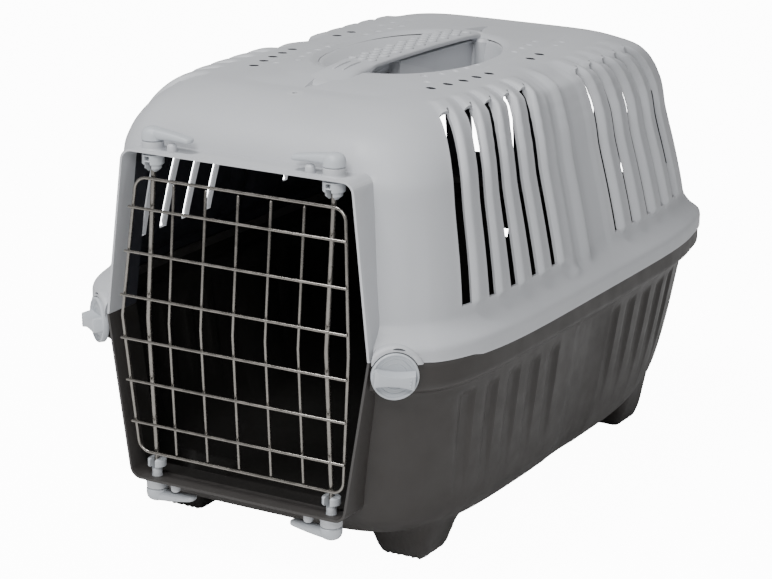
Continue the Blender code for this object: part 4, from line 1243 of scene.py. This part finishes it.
def bottom_rows():
    rim_inset = 1.5 * MM
    rows = [
        [SPLIT_HEIGHT, rim_inset, 0.0, 0.0],
        [SPLIT_HEIGHT - 11.0 * MM, rim_inset, 0.0, 0.0],
        [SPLIT_HEIGHT - 13.2 * MM, rim_inset + 0.8 * MM, 0.8 * MM, 0.8 * MM],
        [SPLIT_HEIGHT - 14.8 * MM, 4.0 * MM, 3.0 * MM, 3.4 * MM],
        [SPLIT_HEIGHT - 16.6 * MM, 7.2 * MM, 6.4 * MM, 7.4 * MM],
        [SPLIT_HEIGHT - 19.5 * MM, 9.0 * MM, 8.8 * MM, 9.9 * MM],
        [132.0 * MM, 9.9 * MM, 9.8 * MM, 11.5 * MM],
        [92.0 * MM, 15.0 * MM, 14.0 * MM, 21.0 * MM],
        [56.0 * MM, 21.0 * MM, 19.0 * MM, 32.0 * MM],
        [40.0 * MM, 25.5 * MM, 23.0 * MM, 41.0 * MM],
        [31.0 * MM, 31.5 * MM, 29.0 * MM, 49.5 * MM],
        [25.5 * MM, 38.5 * MM, 36.5 * MM, 59.0 * MM],
        [22.2 * MM, 48.0 * MM, 47.0 * MM, 70.0 * MM],
        [21.0 * MM, 62.0 * MM, 64.0 * MM, 88.0 * MM],
        [21.0 * MM, 90.0 * MM, 110.0 * MM, 130.0 * MM],
    ]

    def spacing(row):
        if row[0] > 130.0 * MM:
            return 1.8 * MM
        if row[0] > 60.0 * MM:
            return 5.0 * MM
        return 2.6 * MM

    return fine_rows(rows, spacing)


FOOT_INNER = 76.0 * MM
FOOT_OUTER = 104.0 * MM
FOOT_SPANS = ((-167.0 * MM, -137.0 * MM), (154.0 * MM, 186.0 * MM))
FOOT_BLEND = 13.0 * MM
FOOT_REACH_HEIGHT = 60.0 * MM


def foot_share(x, y):
    """1 on a foot's flat underside, falling smoothly to 0 around it."""
    best = 0.0
    for near, far in FOOT_SPANS:
        away_x = max(FOOT_INNER - abs(x), 0.0, abs(x) - FOOT_OUTER)
        away_y = max(near - y, 0.0, y - far)
        distance = math.hypot(away_x, away_y)
        best = max(best, 1.0 - smooth_step(distance, 0.0, FOOT_BLEND))
    return best


FLUTE_DEPTH = 2.6 * MM


def bottom_relief(column, height):
    """How far the side of the bottom shell stands out of its smooth base; flutes stand in."""
    relief = shape_value(LOWER_SECTION_SHAPE, column["along"]) * MM
    relief *= 1.0 - smooth_step(height, 130.0 * MM, 142.0 * MM)
    relief *= smooth_step(height, 22.0 * MM, 40.0 * MM)
    number = column["slot"]
    if number is None:
        return relief
    groove = FLUTE_DEPTH * (1.0 - smooth_step(height, 124.0 * MM, 134.0 * MM))
    groove *= smooth_step(height, 40.0 * MM, 105.0 * MM)
    offset = column["offset"]
    across = max(0.0, 1.0 - ((offset - 1.0) / 7.5) ** 2)
    return relief - groove * min(1.0, 1.6 * across)


BAND_DROP = 4.0 * MM
LIP_RISE = 3.4 * MM
LIP_DROP = 3.0 * MM
LIP_OUTER_INSET = 3.1 * MM
LIP_INNER_INSET = 4.6 * MM


def rim_lip():
    """The upstand inside the rim of the bottom shell that the top shell fits over."""
    half = []
    for column in COLUMNS:
        if column["slot"] is not None and column["offset"] not in (5.0, -5.0, 16.0):
            continue
        section = []
        for inset, height in (
            (LIP_OUTER_INSET, SPLIT_HEIGHT - LIP_DROP),
            (LIP_OUTER_INSET, SPLIT_HEIGHT + LIP_RISE),
            (LIP_INNER_INSET, SPLIT_HEIGHT + LIP_RISE),
            (LIP_INNER_INSET, SPLIT_HEIGHT - LIP_DROP),
        ):
            point = plan_point(column, [height, inset, inset, inset], 0.0, (1.0, 0.0))
            section.append(front_step(point, 0.0))
        half.append(section)
    other = [[(-x, y, z) for x, y, z in section] for section in reversed(half[1:-1])]
    whole = half + other
    return loft("rim_lip", whole + [whole[0]], [CHARCOAL], close_ends=False)


def lower_front_band(point):
    """The band under the rim is deeper round the front corners."""
    drop = BAND_DROP * (1.0 - smooth_step(point[1], -215.0 * MM, -110.0 * MM))
    below = SPLIT_HEIGHT - point[2]
    share = smooth_step(below, 2.0 * MM, 12.0 * MM) * (1.0 - smooth_step(below, 20.0 * MM, 34.0 * MM))
    point[2] -= drop * share
    return point


def lower_to_feet(grid, lift):
    """Pull the underside down into the four feet."""
    for ring in grid:
        for point in ring:
            if point[2] < FOOT_REACH_HEIGHT:
                share = foot_share(point[0], point[1])
                point[2] = lift + (point[2] - lift) * (1.0 - share)


def build_bottom_shell():
    rows = bottom_rows()
    outer = skin_grid(rows, bottom_relief, 0.0)
    outer += roof_rings(outer[-1], lambda share, x, y: rows[-1][0])
    inner = skin_grid(rows, bottom_relief, WALL)
    inner += roof_rings(inner[-1], lambda share, x, y: rows[-1][0] + WALL)
    for point in [point for ring in outer + inner for point in ring]:
        lower_front_band(point)
    lower_to_feet(outer, 0.0)
    lower_to_feet(inner, WALL)
    # The inner faces of the bottom shell take painted shade through the second material.
    shell = walled_skin("bottom_shell_moulding", outer, inner, set(), [CHARCOAL, CHARCOAL_INSIDE_PAINTED_SHADE])
    cut(shell, rim_lip(), "UNION")
    add_collar(shell, False, [CHARCOAL, CHARCOAL_INSIDE_PAINTED_SHADE])
    cut(shell, latch_bores("bottom"))
    cut(shell, rear_openings(REAR_VENTS[:1], REAR_WINDOW_LOW, REAR_WINDOW_HIGH, [CHARCOAL]))
    for side in (-1.0, 1.0):
        cut(shell, knob_pocket(side, [CHARCOAL]))
    return shell


# ---------------------------------------------------------------- carry handle


HANDLE_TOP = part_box("carry_handle")[1].z
# Station, height below the crown and half width of the bar in mm, from its front end to its rear end.
HANDLE_PROFILE = (
    (-136.0, -9.0, 17.5),
    (-131.0, -6.6, 17.5),
    (-118.0, -4.0, 17.0),
    (-108.0, -2.2, 15.6),
    (-98.0, -1.0, 14.4),
    (-80.0, -0.2, 14.0),
    (-40.0, 0.0, 14.0),
    (10.0, -0.4, 14.0),
    (50.0, -1.5, 14.0),
    (72.0, -2.9, 13.6),
    (84.0, -4.6, 13.0),
    (93.0, -8.0, 12.0),
)
PAD_ALLOWANCE = 1.3 * MM
BAR_THICKNESS = 5.4 * MM
BAR_END_THICKNESS = 11.0 * MM
BAR_SIDE_POWER = 0.55
BAR_TOP_POWER = 0.62
PAD_HALF_WIDTH = 3.5 * MM
PAD_HALF_LENGTH = 3.9 * MM
PAD_SPACING = 7.6
PAD_SIDES = 16
PAD_ROWS = 17
PAD_FIRST_ROW = -73.0 * MM
PAD_PITCH = 8.8 * MM


def handle_top(y):
    """Crown height of the handle at one station."""
    stations = [row[0] * MM for row in HANDLE_PROFILE]
    crowns = [row[1] * MM for row in HANDLE_PROFILE]
    return HANDLE_TOP - PAD_ALLOWANCE + float(np.interp(y, stations, crowns))


def handle_half(y):
    stations = [row[0] * MM for row in HANDLE_PROFILE]
    return float(np.interp(y, stations, [row[2] * MM for row in HANDLE_PROFILE]))


def handle_bar():
    rings = []
    first = HANDLE_PROFILE[0][0] * MM
    last = HANDLE_PROFILE[-1][0] * MM
    steps = 80
    for step in range(steps + 1):
        y = first + (last - first) * step / steps
        top = handle_top(y)
        half = handle_half(y)
        over_pit = smooth_step(y, PIT_FRONT - 6.0 * MM, PIT_FRONT + 8.0 * MM)
        over_pit *= 1.0 - smooth_step(y, PIT_REAR - 8.0 * MM, PIT_REAR + 4.0 * MM)
        thick = BAR_END_THICKNESS + (BAR_THICKNESS - BAR_END_THICKNESS) * over_pit
        ring = []
        sides = 40
        for index in range(sides):
            angle = 2.0 * math.pi * index / sides
            x = half * signed_power(math.cos(angle), BAR_SIDE_POWER)
            lift = signed_power(math.sin(angle), BAR_TOP_POWER)
            ring.append((x, y, top - 0.5 * thick * (1.0 - lift)))
        rings.append(ring)
    return loft("carry_handle_bar", rings, [GREY], 50.0)


def surface_drop(x, half):
    """How far the bar's top falls away from its crown at one distance from the middle."""
    cosine = min(1.0, abs(x) / half) ** (1.0 / BAR_SIDE_POWER)
    sine = math.sqrt(max(0.0, 1.0 - cosine * cosine))
    return 0.5 * BAR_THICKNESS * (1.0 - sine**BAR_TOP_POWER)


def grip_pads():
    """Staggered soft lozenges on the top of the bar."""
    pads = []
    for row in range(PAD_ROWS):
        y = PAD_FIRST_ROW + row * PAD_PITCH
        places = (-PAD_SPACING, 0.0, PAD_SPACING)
        if row % 2 == 1:
            places = (-PAD_SPACING / 2.0, PAD_SPACING / 2.0)
        for place in places:
            x = place * MM
            crown = handle_top(y) - surface_drop(x, handle_half(y))
            rings = []
            for size, height in ((1.0, -0.9), (0.97, 0.35), (0.82, 0.85), (0.5, 1.15)):
                ring = []
                for step in range(PAD_SIDES):
                    angle = 2.0 * math.pi * step / PAD_SIDES
                    across = PAD_HALF_WIDTH * size * signed_power(math.cos(angle), 1.15)
                    along = PAD_HALF_LENGTH * size * signed_power(math.sin(angle), 1.15)
                    ring.append((x + across, y + along, crown + height * MM))
                rings.append(ring)
            pads.append(loft("grip_pad", rings, [GREY], 60.0))
    return join("grip_pads", pads)


def ramp_ribs():
    ribs = []
    for x in (-3.7 * MM, 3.7 * MM):
        rings = []
        for step in range(13):
            share = step / 12
            y = (-107.0 + 27.0 * share) * MM
            rise = -0.3 * MM
            if share < 0.92:
                rise = 1.1 * MM * math.sin(math.pi * min(1.0, 0.08 + share)) ** 0.5
            top = handle_top(y) + rise
            ring = [(x - 1.3 * MM, y, top - 2.4 * MM), (x + 1.3 * MM, y, top - 2.4 * MM)]
            ring += [(x + 0.75 * MM, y, top), (x - 0.75 * MM, y, top)]
            rings.append(ring)
        ribs.append(soften(loft("ramp_rib", rings, [GREY]), 0.3 * MM))
    return join("ramp_ribs", ribs)


def build_handle():
    bar = handle_bar()
    cut(bar, grip_pads(), "UNION")
    cut(bar, ramp_ribs(), "UNION")
    return settle(bar, 45.0)


# ---------------------------------------------------------------- latches


RING_RADIUS = 7.5 * MM
RING_HEIGHT = 7.0 * MM
HUB_RADIUS = 7.7 * MM
HUB_HEIGHT = 9.2 * MM
LEVER_LENGTH = 31.0 * MM
BORE_RADIUS = 4.2 * MM
NECK_RADIUS = 3.8 * MM
POST_START = -2.3 * MM
NUB_PLACE = (16.5 * MM, 2.1 * MM)


def latch_lever(name):
    """A domed hub with an arched arm that tapers towards +X, seated on z = 0."""
    profile = [
        (HUB_RADIUS * 0.92, 0.0),
        (HUB_RADIUS * 0.99, 0.5 * MM),
        (HUB_RADIUS, HUB_HEIGHT * 0.30),
        (HUB_RADIUS * 0.97, HUB_HEIGHT * 0.50),
        (HUB_RADIUS * 0.90, HUB_HEIGHT * 0.68),
        (HUB_RADIUS * 0.76, HUB_HEIGHT * 0.83),
        (HUB_RADIUS * 0.52, HUB_HEIGHT * 0.94),
        (HUB_RADIUS * 0.24, HUB_HEIGHT * 0.99),
        (HUB_RADIUS * 0.08, HUB_HEIGHT),
    ]
    hub = turned(name, profile, [LATCH])
    rings = []
    steps = 30
    for step in range(steps + 1):
        along = step / steps
        x = along * LEVER_LENGTH
        half = (6.0 - 1.5 * along) * MM
        top = HUB_HEIGHT * (0.93 - 0.46 * along**1.5)
        under = HUB_HEIGHT * (0.06 + 0.07 * math.sin(math.pi * along))
        close = max(0.0, (along - 0.90) / 0.10)
        shrink = math.sqrt(max(0.02, 1.0 - 0.97 * close * close))
        middle = 0.5 * (top + under)
        top = middle + (top - middle) * (0.35 + 0.65 * shrink)
        under = middle + (under - middle) * (0.35 + 0.65 * shrink)
        half *= 0.25 + 0.75 * shrink
        ring = []
        sides = 24
        for index in range(sides):
            angle = 2.0 * math.pi * index / sides
            y = half * signed_power(math.cos(angle), 0.6)
            lift = 0.5 + 0.5 * signed_power(math.sin(angle), 0.75)
            ring.append((x, y, under + (top - under) * lift))
        rings.append(ring)
    arm = loft("lever_arm", rings, [LATCH])
    cut(hub, arm, "UNION")
    return hub


def bore(low, high):
    return drill("latch_bore", BORE_RADIUS, low, high, [GREY], 36)


def latch_ring(name):
    """The fixed ring on the collar below a lever, with a bore for the neck of the post."""
    profile = [
        (RING_RADIUS + 1.2 * MM, 0.4 * MM),
        (RING_RADIUS + 0.8 * MM, 1.7 * MM),
        (RING_RADIUS + 0.1 * MM, 2.4 * MM),
        (RING_RADIUS, 3.2 * MM),
        (RING_RADIUS, RING_HEIGHT - 0.7 * MM),
        (RING_RADIUS - 0.5 * MM, RING_HEIGHT - 0.1 * MM),
        (RING_RADIUS * 0.6, RING_HEIGHT),
    ]
    ring = turned(name, profile, [GREY])
    return cut(ring, bore(-1.0 * MM, RING_HEIGHT + 1.0 * MM))


def stop_nub(name):
    profile = [
        (3.7 * MM, 0.2 * MM),
        (3.5 * MM, 2.2 * MM),
        (3.4 * MM, 5.0 * MM),
        (3.0 * MM, 6.2 * MM),
        (2.1 * MM, 7.0 * MM),
        (0.7 * MM, 7.3 * MM),
    ]
    return turned(name, profile, [GREY], sides=32)


# Radius and height in mm of each step of a post, from its neck to its free end.
UPPER_POST = (
    (7.4, -2.3),
    (7.5, -2.7),
    (7.5, -8.4),
    (7.1, -8.9),
    (5.9, -9.1),
    (5.8, -11.6),
    (4.4, -12.7),
    (3.4, -13.8),
)
LOWER_POST = (
    (3.6, -2.3),
    (3.6, -8.3),
    (6.0, -8.6),
    (6.5, -9.1),
    (6.5, -13.4),
    (6.1, -13.9),
    (5.0, -14.4),
    (3.6, -14.5),
)
SOCKET_TOP = -6.6 * MM
SOCKET_END = -20.0 * MM


def latch_post(name, upper):
    """The stepped post inside the collar that holds a rod end; it hangs below z = 0."""
    steps = UPPER_POST if upper else LOWER_POST
    profile = [(radius * MM, height * MM) for radius, height in reversed(steps)]
    profile += [(NECK_RADIUS, POST_START), (NECK_RADIUS, RING_HEIGHT + 1.0 * MM)]
    post = turned(name, profile, [LATCH])
    half = ROD_RADIUS + ROD_CLEARANCE
    cut(post, drill("rod_socket", half, SOCKET_END, SOCKET_TOP, [LATCH], 24))
    mouth = [(-half, SOCKET_END), (-half, SOCKET_TOP), (half, SOCKET_TOP), (half, SOCKET_END)]
    cut(post, prism_y("rod_mouth", mouth, 0.0, 12.0 * MM, [LATCH]))
    if upper:
        window = [(-1.6, -5.7), (-1.6, -2.9), (2.2, -2.9), (2.2, -5.7)]
        outline = [(x * MM, z * MM) for x, z in window]
        cut(post, prism_y("post_window", outline, 3.0 * MM, 12.0 * MM, [LATCH]))
    return soften(post, 0.25 * MM, 2, 50.0)


def place_latches():
    """Four latches: a lever and a post that turn, and a ring and a stop fixed to the shell."""
    for level, up in (("top", 1.0), ("bottom", -1.0)):
        for label, side in (("left", -1.0), ("right", 1.0)):
            place = Vector(JOINTS[f"latch_{level}_{label}_turn"]["pos_m"])
            at_joint = Matrix.Translation(place)
            across = Vector((-side, 0.0, 0.0))
            lift = Vector((0.0, 0.0, up))
            turn = axes(across, lift.cross(across), lift)
            seat = Matrix.Translation(place + lift * (RING_HEIGHT + 0.3 * MM)) @ turn
            lever = moved(latch_lever(f"latch_lever_{level}_{label}_cap"), seat)
            latch = f"latch_{level}_{label}"
            hand_over(lever, latch, f"latch_lever_{level}_{label}")
            forward = axes(Vector((-up, 0.0, 0.0)), Vector((0.0, -1.0, 0.0)), lift)
            post = moved(latch_post(f"latch_post_{level}_{label}", up > 0.0), at_joint @ forward)
            hand_over(post, latch, f"latch_spindle_{level}_{label}")
            ring = moved(latch_ring(f"latch_ring_{level}_{label}"), at_joint @ turn)
            hand_over(ring, level)
            front = -1.0 if lift.cross(across).y > 0.0 else 1.0
            beside = Matrix.Translation((NUB_PLACE[0], front * NUB_PLACE[1], 0.0))
            nub = moved(stop_nub(f"latch_stop_{level}_{label}"), at_joint @ turn @ beside)
            hand_over(nub, level)


def latch_bores(level):
    """Holes through the collar for the necks of two latch posts, as one cutter."""
    bores = []
    for label in ("left", "right"):
        place = Matrix.Translation(JOINTS[f"latch_{level}_{label}_turn"]["pos_m"])
        bores.append(moved(bore(-6.0 * MM, 6.0 * MM), place))
    return join("latch_bores", bores)


# ---------------------------------------------------------------- door wires


CAD_ROD_RADIUS = 2.1 * MM
ROD_RADIUS = 1.75 * MM
ROD_CLEARANCE = 0.45 * MM
FRAME_RADIUS = 1.15 * MM
CROSS_RADIUS = 1.0 * MM


def wire_tube(name, points, radius, closed=False, sides=16):
    """A round wire swept through points, with rounded ends."""
    points = [Vector(point) for point in points]
    count = len(points)
    rings = []
    guide = Vector((0.0, -1.0, 0.0))
    for index, point in enumerate(points):
        before = points[index - 1] if closed or index > 0 else point
        after = points[(index + 1) % count] if closed or index < count - 1 else point
        along = (after - before).normalized()
        first = along.cross(guide)
        if first.length < 1e-6:
            first = along.cross(Vector((1.0, 0.0, 0.0)))
        first.normalize()
        second = along.cross(first)
        ring = []
        for side in range(sides):
            angle = 2.0 * math.pi * side / sides
            ring.append(point + (first * math.cos(angle) + second * math.sin(angle)) * radius)
        rings.append((ring, point, along))
    shape = bmesh.new()
    rows = [[shape.verts.new(corner) for corner in ring] for ring, _, _ in rings]
    if not closed:
        for end, sign in ((0, -1.0), (-1, 1.0)):
            _, point, along = rings[end]
            caps = []
            for share, shrink in ((0.45, 0.88), (0.8, 0.55)):
                cap = []
                push = along * sign * radius * share
                for corner in rings[end][0]:
                    cap.append(shape.verts.new(point + (corner - point) * shrink + push))
                caps.append(cap)
            if end == 0:
                rows = list(reversed(caps)) + rows
            else:
                rows = rows + caps
    pairs = list(zip(rows, rows[1:]))
    if closed:
        pairs.append((rows[-1], rows[0]))
    for lower, upper in pairs:
        for index in range(sides):
            following = (index + 1) % sides
            shape.faces.new((lower[index], lower[following], upper[following], upper[index]))
    if not closed:
        shape.faces.new(list(reversed(rows[0])))
        shape.faces.new(rows[-1])
    return from_bmesh(name, shape, [WIRE], 60.0)


FRAME_LOW, FRAME_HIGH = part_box("door_frame")
CAD_FRAME_RADIUS = 1.5 * MM
DOOR_CENTRE = (FRAME_LOW + FRAME_HIGH) / 2.0
DOOR_TOP = FRAME_HIGH.z - CAD_FRAME_RADIUS
DOOR_BOTTOM = FRAME_LOW.z + CAD_FRAME_RADIUS
DOOR_FRONT = FRAME_LOW.y + CAD_FRAME_RADIUS
DOOR_LEAN = (FRAME_HIGH.y - FRAME_LOW.y - 2.0 * CAD_FRAME_RADIUS) / (DOOR_TOP - DOOR_CENTRE.z)
DOOR_MIDDLE = JOINTS["door_hinge"]["pos_m"][2]
DOOR_WIDEST = FRAME_HIGH.x - CAD_FRAME_RADIUS
DOOR_END_HALF = 81.5 * MM
DOOR_CORNER = 9.0 * MM


def door_y(height):
    return DOOR_FRONT + DOOR_LEAN * abs(height - DOOR_MIDDLE)


def door_loop():
    """The closed outer wire: widest and bent at mid height, with round corners."""
    half = []
    steps = 10
    for end, side in ((DOOR_TOP, 1.0), (DOOR_BOTTOM, -1.0)):
        corner = []
        for step in range(steps + 1):
            angle = math.pi / 2.0 * step / steps
            x = DOOR_END_HALF - DOOR_CORNER * (1.0 - math.cos(angle))
            corner.append((x, end - side * DOOR_CORNER * (1.0 - math.sin(angle))))
        half.append(corner)
    upper = half[0]
    lower = half[1]
    right = [(DOOR_WIDEST, DOOR_MIDDLE)] + upper
    left = [(-x, z) for x, z in reversed(upper)] + [(-DOOR_WIDEST, DOOR_MIDDLE)]
    under = [(-x, z) for x, z in lower] + list(reversed(lower))
    return [(x, door_y(z), z) for x, z in right + left + under]


def dress_door():
    """Rebuild every wire round the centre line of the CAD wire it replaces."""
    wires = [("door_frame", door_loop(), FRAME_RADIUS, True)]
    for name in frame["nodes"]:
        low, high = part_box(name)
        middle = (low + high) / 2.0
        if name.startswith("door_cross_wire"):
            ends = (low.x + CROSS_RADIUS, high.x - CROSS_RADIUS)
            line = [(x, middle.y, middle.z) for x in ends]
            wires.append((name, line, CROSS_RADIUS, False))
        if name.startswith("door_upright_wire"):
            start = low.z + CROSS_RADIUS
            end = high.z - CROSS_RADIUS
            line = [(middle.x, door_y(z), z) for z in (start, DOOR_MIDDLE, end)]
            wires.append((name, line, CROSS_RADIUS, False))
        if name.startswith("door_rod"):
            rear = high.y - CAD_ROD_RADIUS
            line = [(middle.x, rear, low.z + ROD_RADIUS), (middle.x, rear, DOOR_BOTTOM - 1.5 * MM)]
            line.append((middle.x, low.y + CAD_ROD_RADIUS, DOOR_MIDDLE))
            line += [(middle.x, rear, DOOR_TOP + 1.5 * MM), (middle.x, rear, high.z - ROD_RADIUS)]
            wires.append((name, line, ROD_RADIUS, False))
    for name, line, radius, closed in wires:
        hand_over(wire_tube(f"{name}_wire", line, radius, closed), "door", name)


# ---------------------------------------------------------------- the pieces


hand_over(build_top_shell(), "top", "top_shell")
hand_over(build_bottom_shell(), "bottom", "bottom_shell")
place_latches()
dress_door()
place_knobs()
hand_over(build_handle(), "top", "carry_handle")

# ---------------------------------------------------------------- floor, light and camera


FLOOR_GLOW = 12.0
SEEN_BACKGROUND = 16.0
WORLD_LIGHT = 0.40


def add_floor():
    """A pale floor that the camera sees as nearly white while it still lights the carrier softly."""
    shape = bmesh.new()
    bmesh.ops.create_grid(shape, x_segments=2, y_segments=2, size=12.0)
    nodes = Nodes("pale_floor")
    pale = nodes.mix(nodes.noise(3.0), (0.93, 0.93, 0.93, 1.0), (0.95, 0.95, 0.95, 1.0))
    nodes.feed(nodes.shader, "Base Color", pale)
    nodes.feed(nodes.shader, "Roughness", 0.85)
    ray = nodes.add("ShaderNodeLightPath")
    nodes.feed(nodes.shader, "Emission Color", (1.0, 1.0, 1.0, 1.0))
    seen = nodes.ramp(ray.outputs["Is Camera Ray"], 0.0, 1.0, 0.0, FLOOR_GLOW)
    nodes.feed(nodes.shader, "Emission Strength", seen)
    floor = from_bmesh("floor", shape, [nodes.material])
    floor.location.z = -0.2 * MM


def add_light(name, place, target, size, power):
    light = bpy.data.lights.new(name, "AREA")
    light.shape = "DISK"
    light.size = size
    light.energy = power
    item = bpy.data.objects.new(name, light)
    bpy.context.scene.collection.objects.link(item)
    item.location = place
    item.rotation_euler = (Vector(target) - Vector(place)).to_track_quat("-Z", "Y").to_euler()


def add_world(strength):
    world = bpy.data.worlds.new("studio")
    bpy.context.scene.world = world
    world.use_nodes = True
    tree = world.node_tree
    background = tree.nodes["Background"]
    background.inputs["Color"].default_value = (1.0, 1.0, 1.0, 1.0)
    ray = tree.nodes.new("ShaderNodeLightPath")
    seen = tree.nodes.new("ShaderNodeMapRange")
    seen.inputs["To Min"].default_value = strength
    seen.inputs["To Max"].default_value = SEEN_BACKGROUND
    tree.links.new(ray.outputs["Is Camera Ray"], seen.inputs["Value"])
    tree.links.new(seen.outputs["Result"], background.inputs["Strength"])


CAMERA_PLACE = Vector((0.8497, -1.5504, 0.6545))
CAMERA_TURN = math.radians(29.52)
CAMERA_TILT = math.radians(16.94)
CAMERA_ROLL = math.radians(0.768)
CAMERA_LENS = 115.93
CAMERA_SHIFT = (0.01347, 0.02966)


def add_camera():
    """The camera stands front right of the carrier, a little above it."""
    camera = bpy.data.cameras.new("camera")
    camera.lens = CAMERA_LENS
    camera.sensor_width = 36.0
    camera.shift_x = CAMERA_SHIFT[0]
    camera.shift_y = CAMERA_SHIFT[1]
    item = bpy.data.objects.new("camera", camera)
    bpy.context.scene.collection.objects.link(item)
    level = math.cos(CAMERA_TILT)
    back = Vector((0.0, 0.0, math.sin(CAMERA_TILT)))
    back.x = math.sin(CAMERA_TURN) * level
    back.y = -math.cos(CAMERA_TURN) * level
    right = Vector((0.0, 0.0, 1.0)).cross(back).normalized()
    up = back.cross(right)
    rolled_right = right * math.cos(CAMERA_ROLL) + up * math.sin(CAMERA_ROLL)
    rolled_up = up * math.cos(CAMERA_ROLL) - right * math.sin(CAMERA_ROLL)
    item.matrix_world = Matrix.Translation(CAMERA_PLACE) @ axes(rolled_right, rolled_up, back)
    bpy.context.scene.camera = item


add_floor()
add_world(WORLD_LIGHT)
add_light("key_light", (-0.5, -1.1, 2.8), (0.0, 0.0, 0.2), size=0.9, power=64.0)
add_light("front_light", (0.4, -1.3, 1.1), (0.0, -0.1, 0.2), size=0.5, power=12.5)
add_camera()
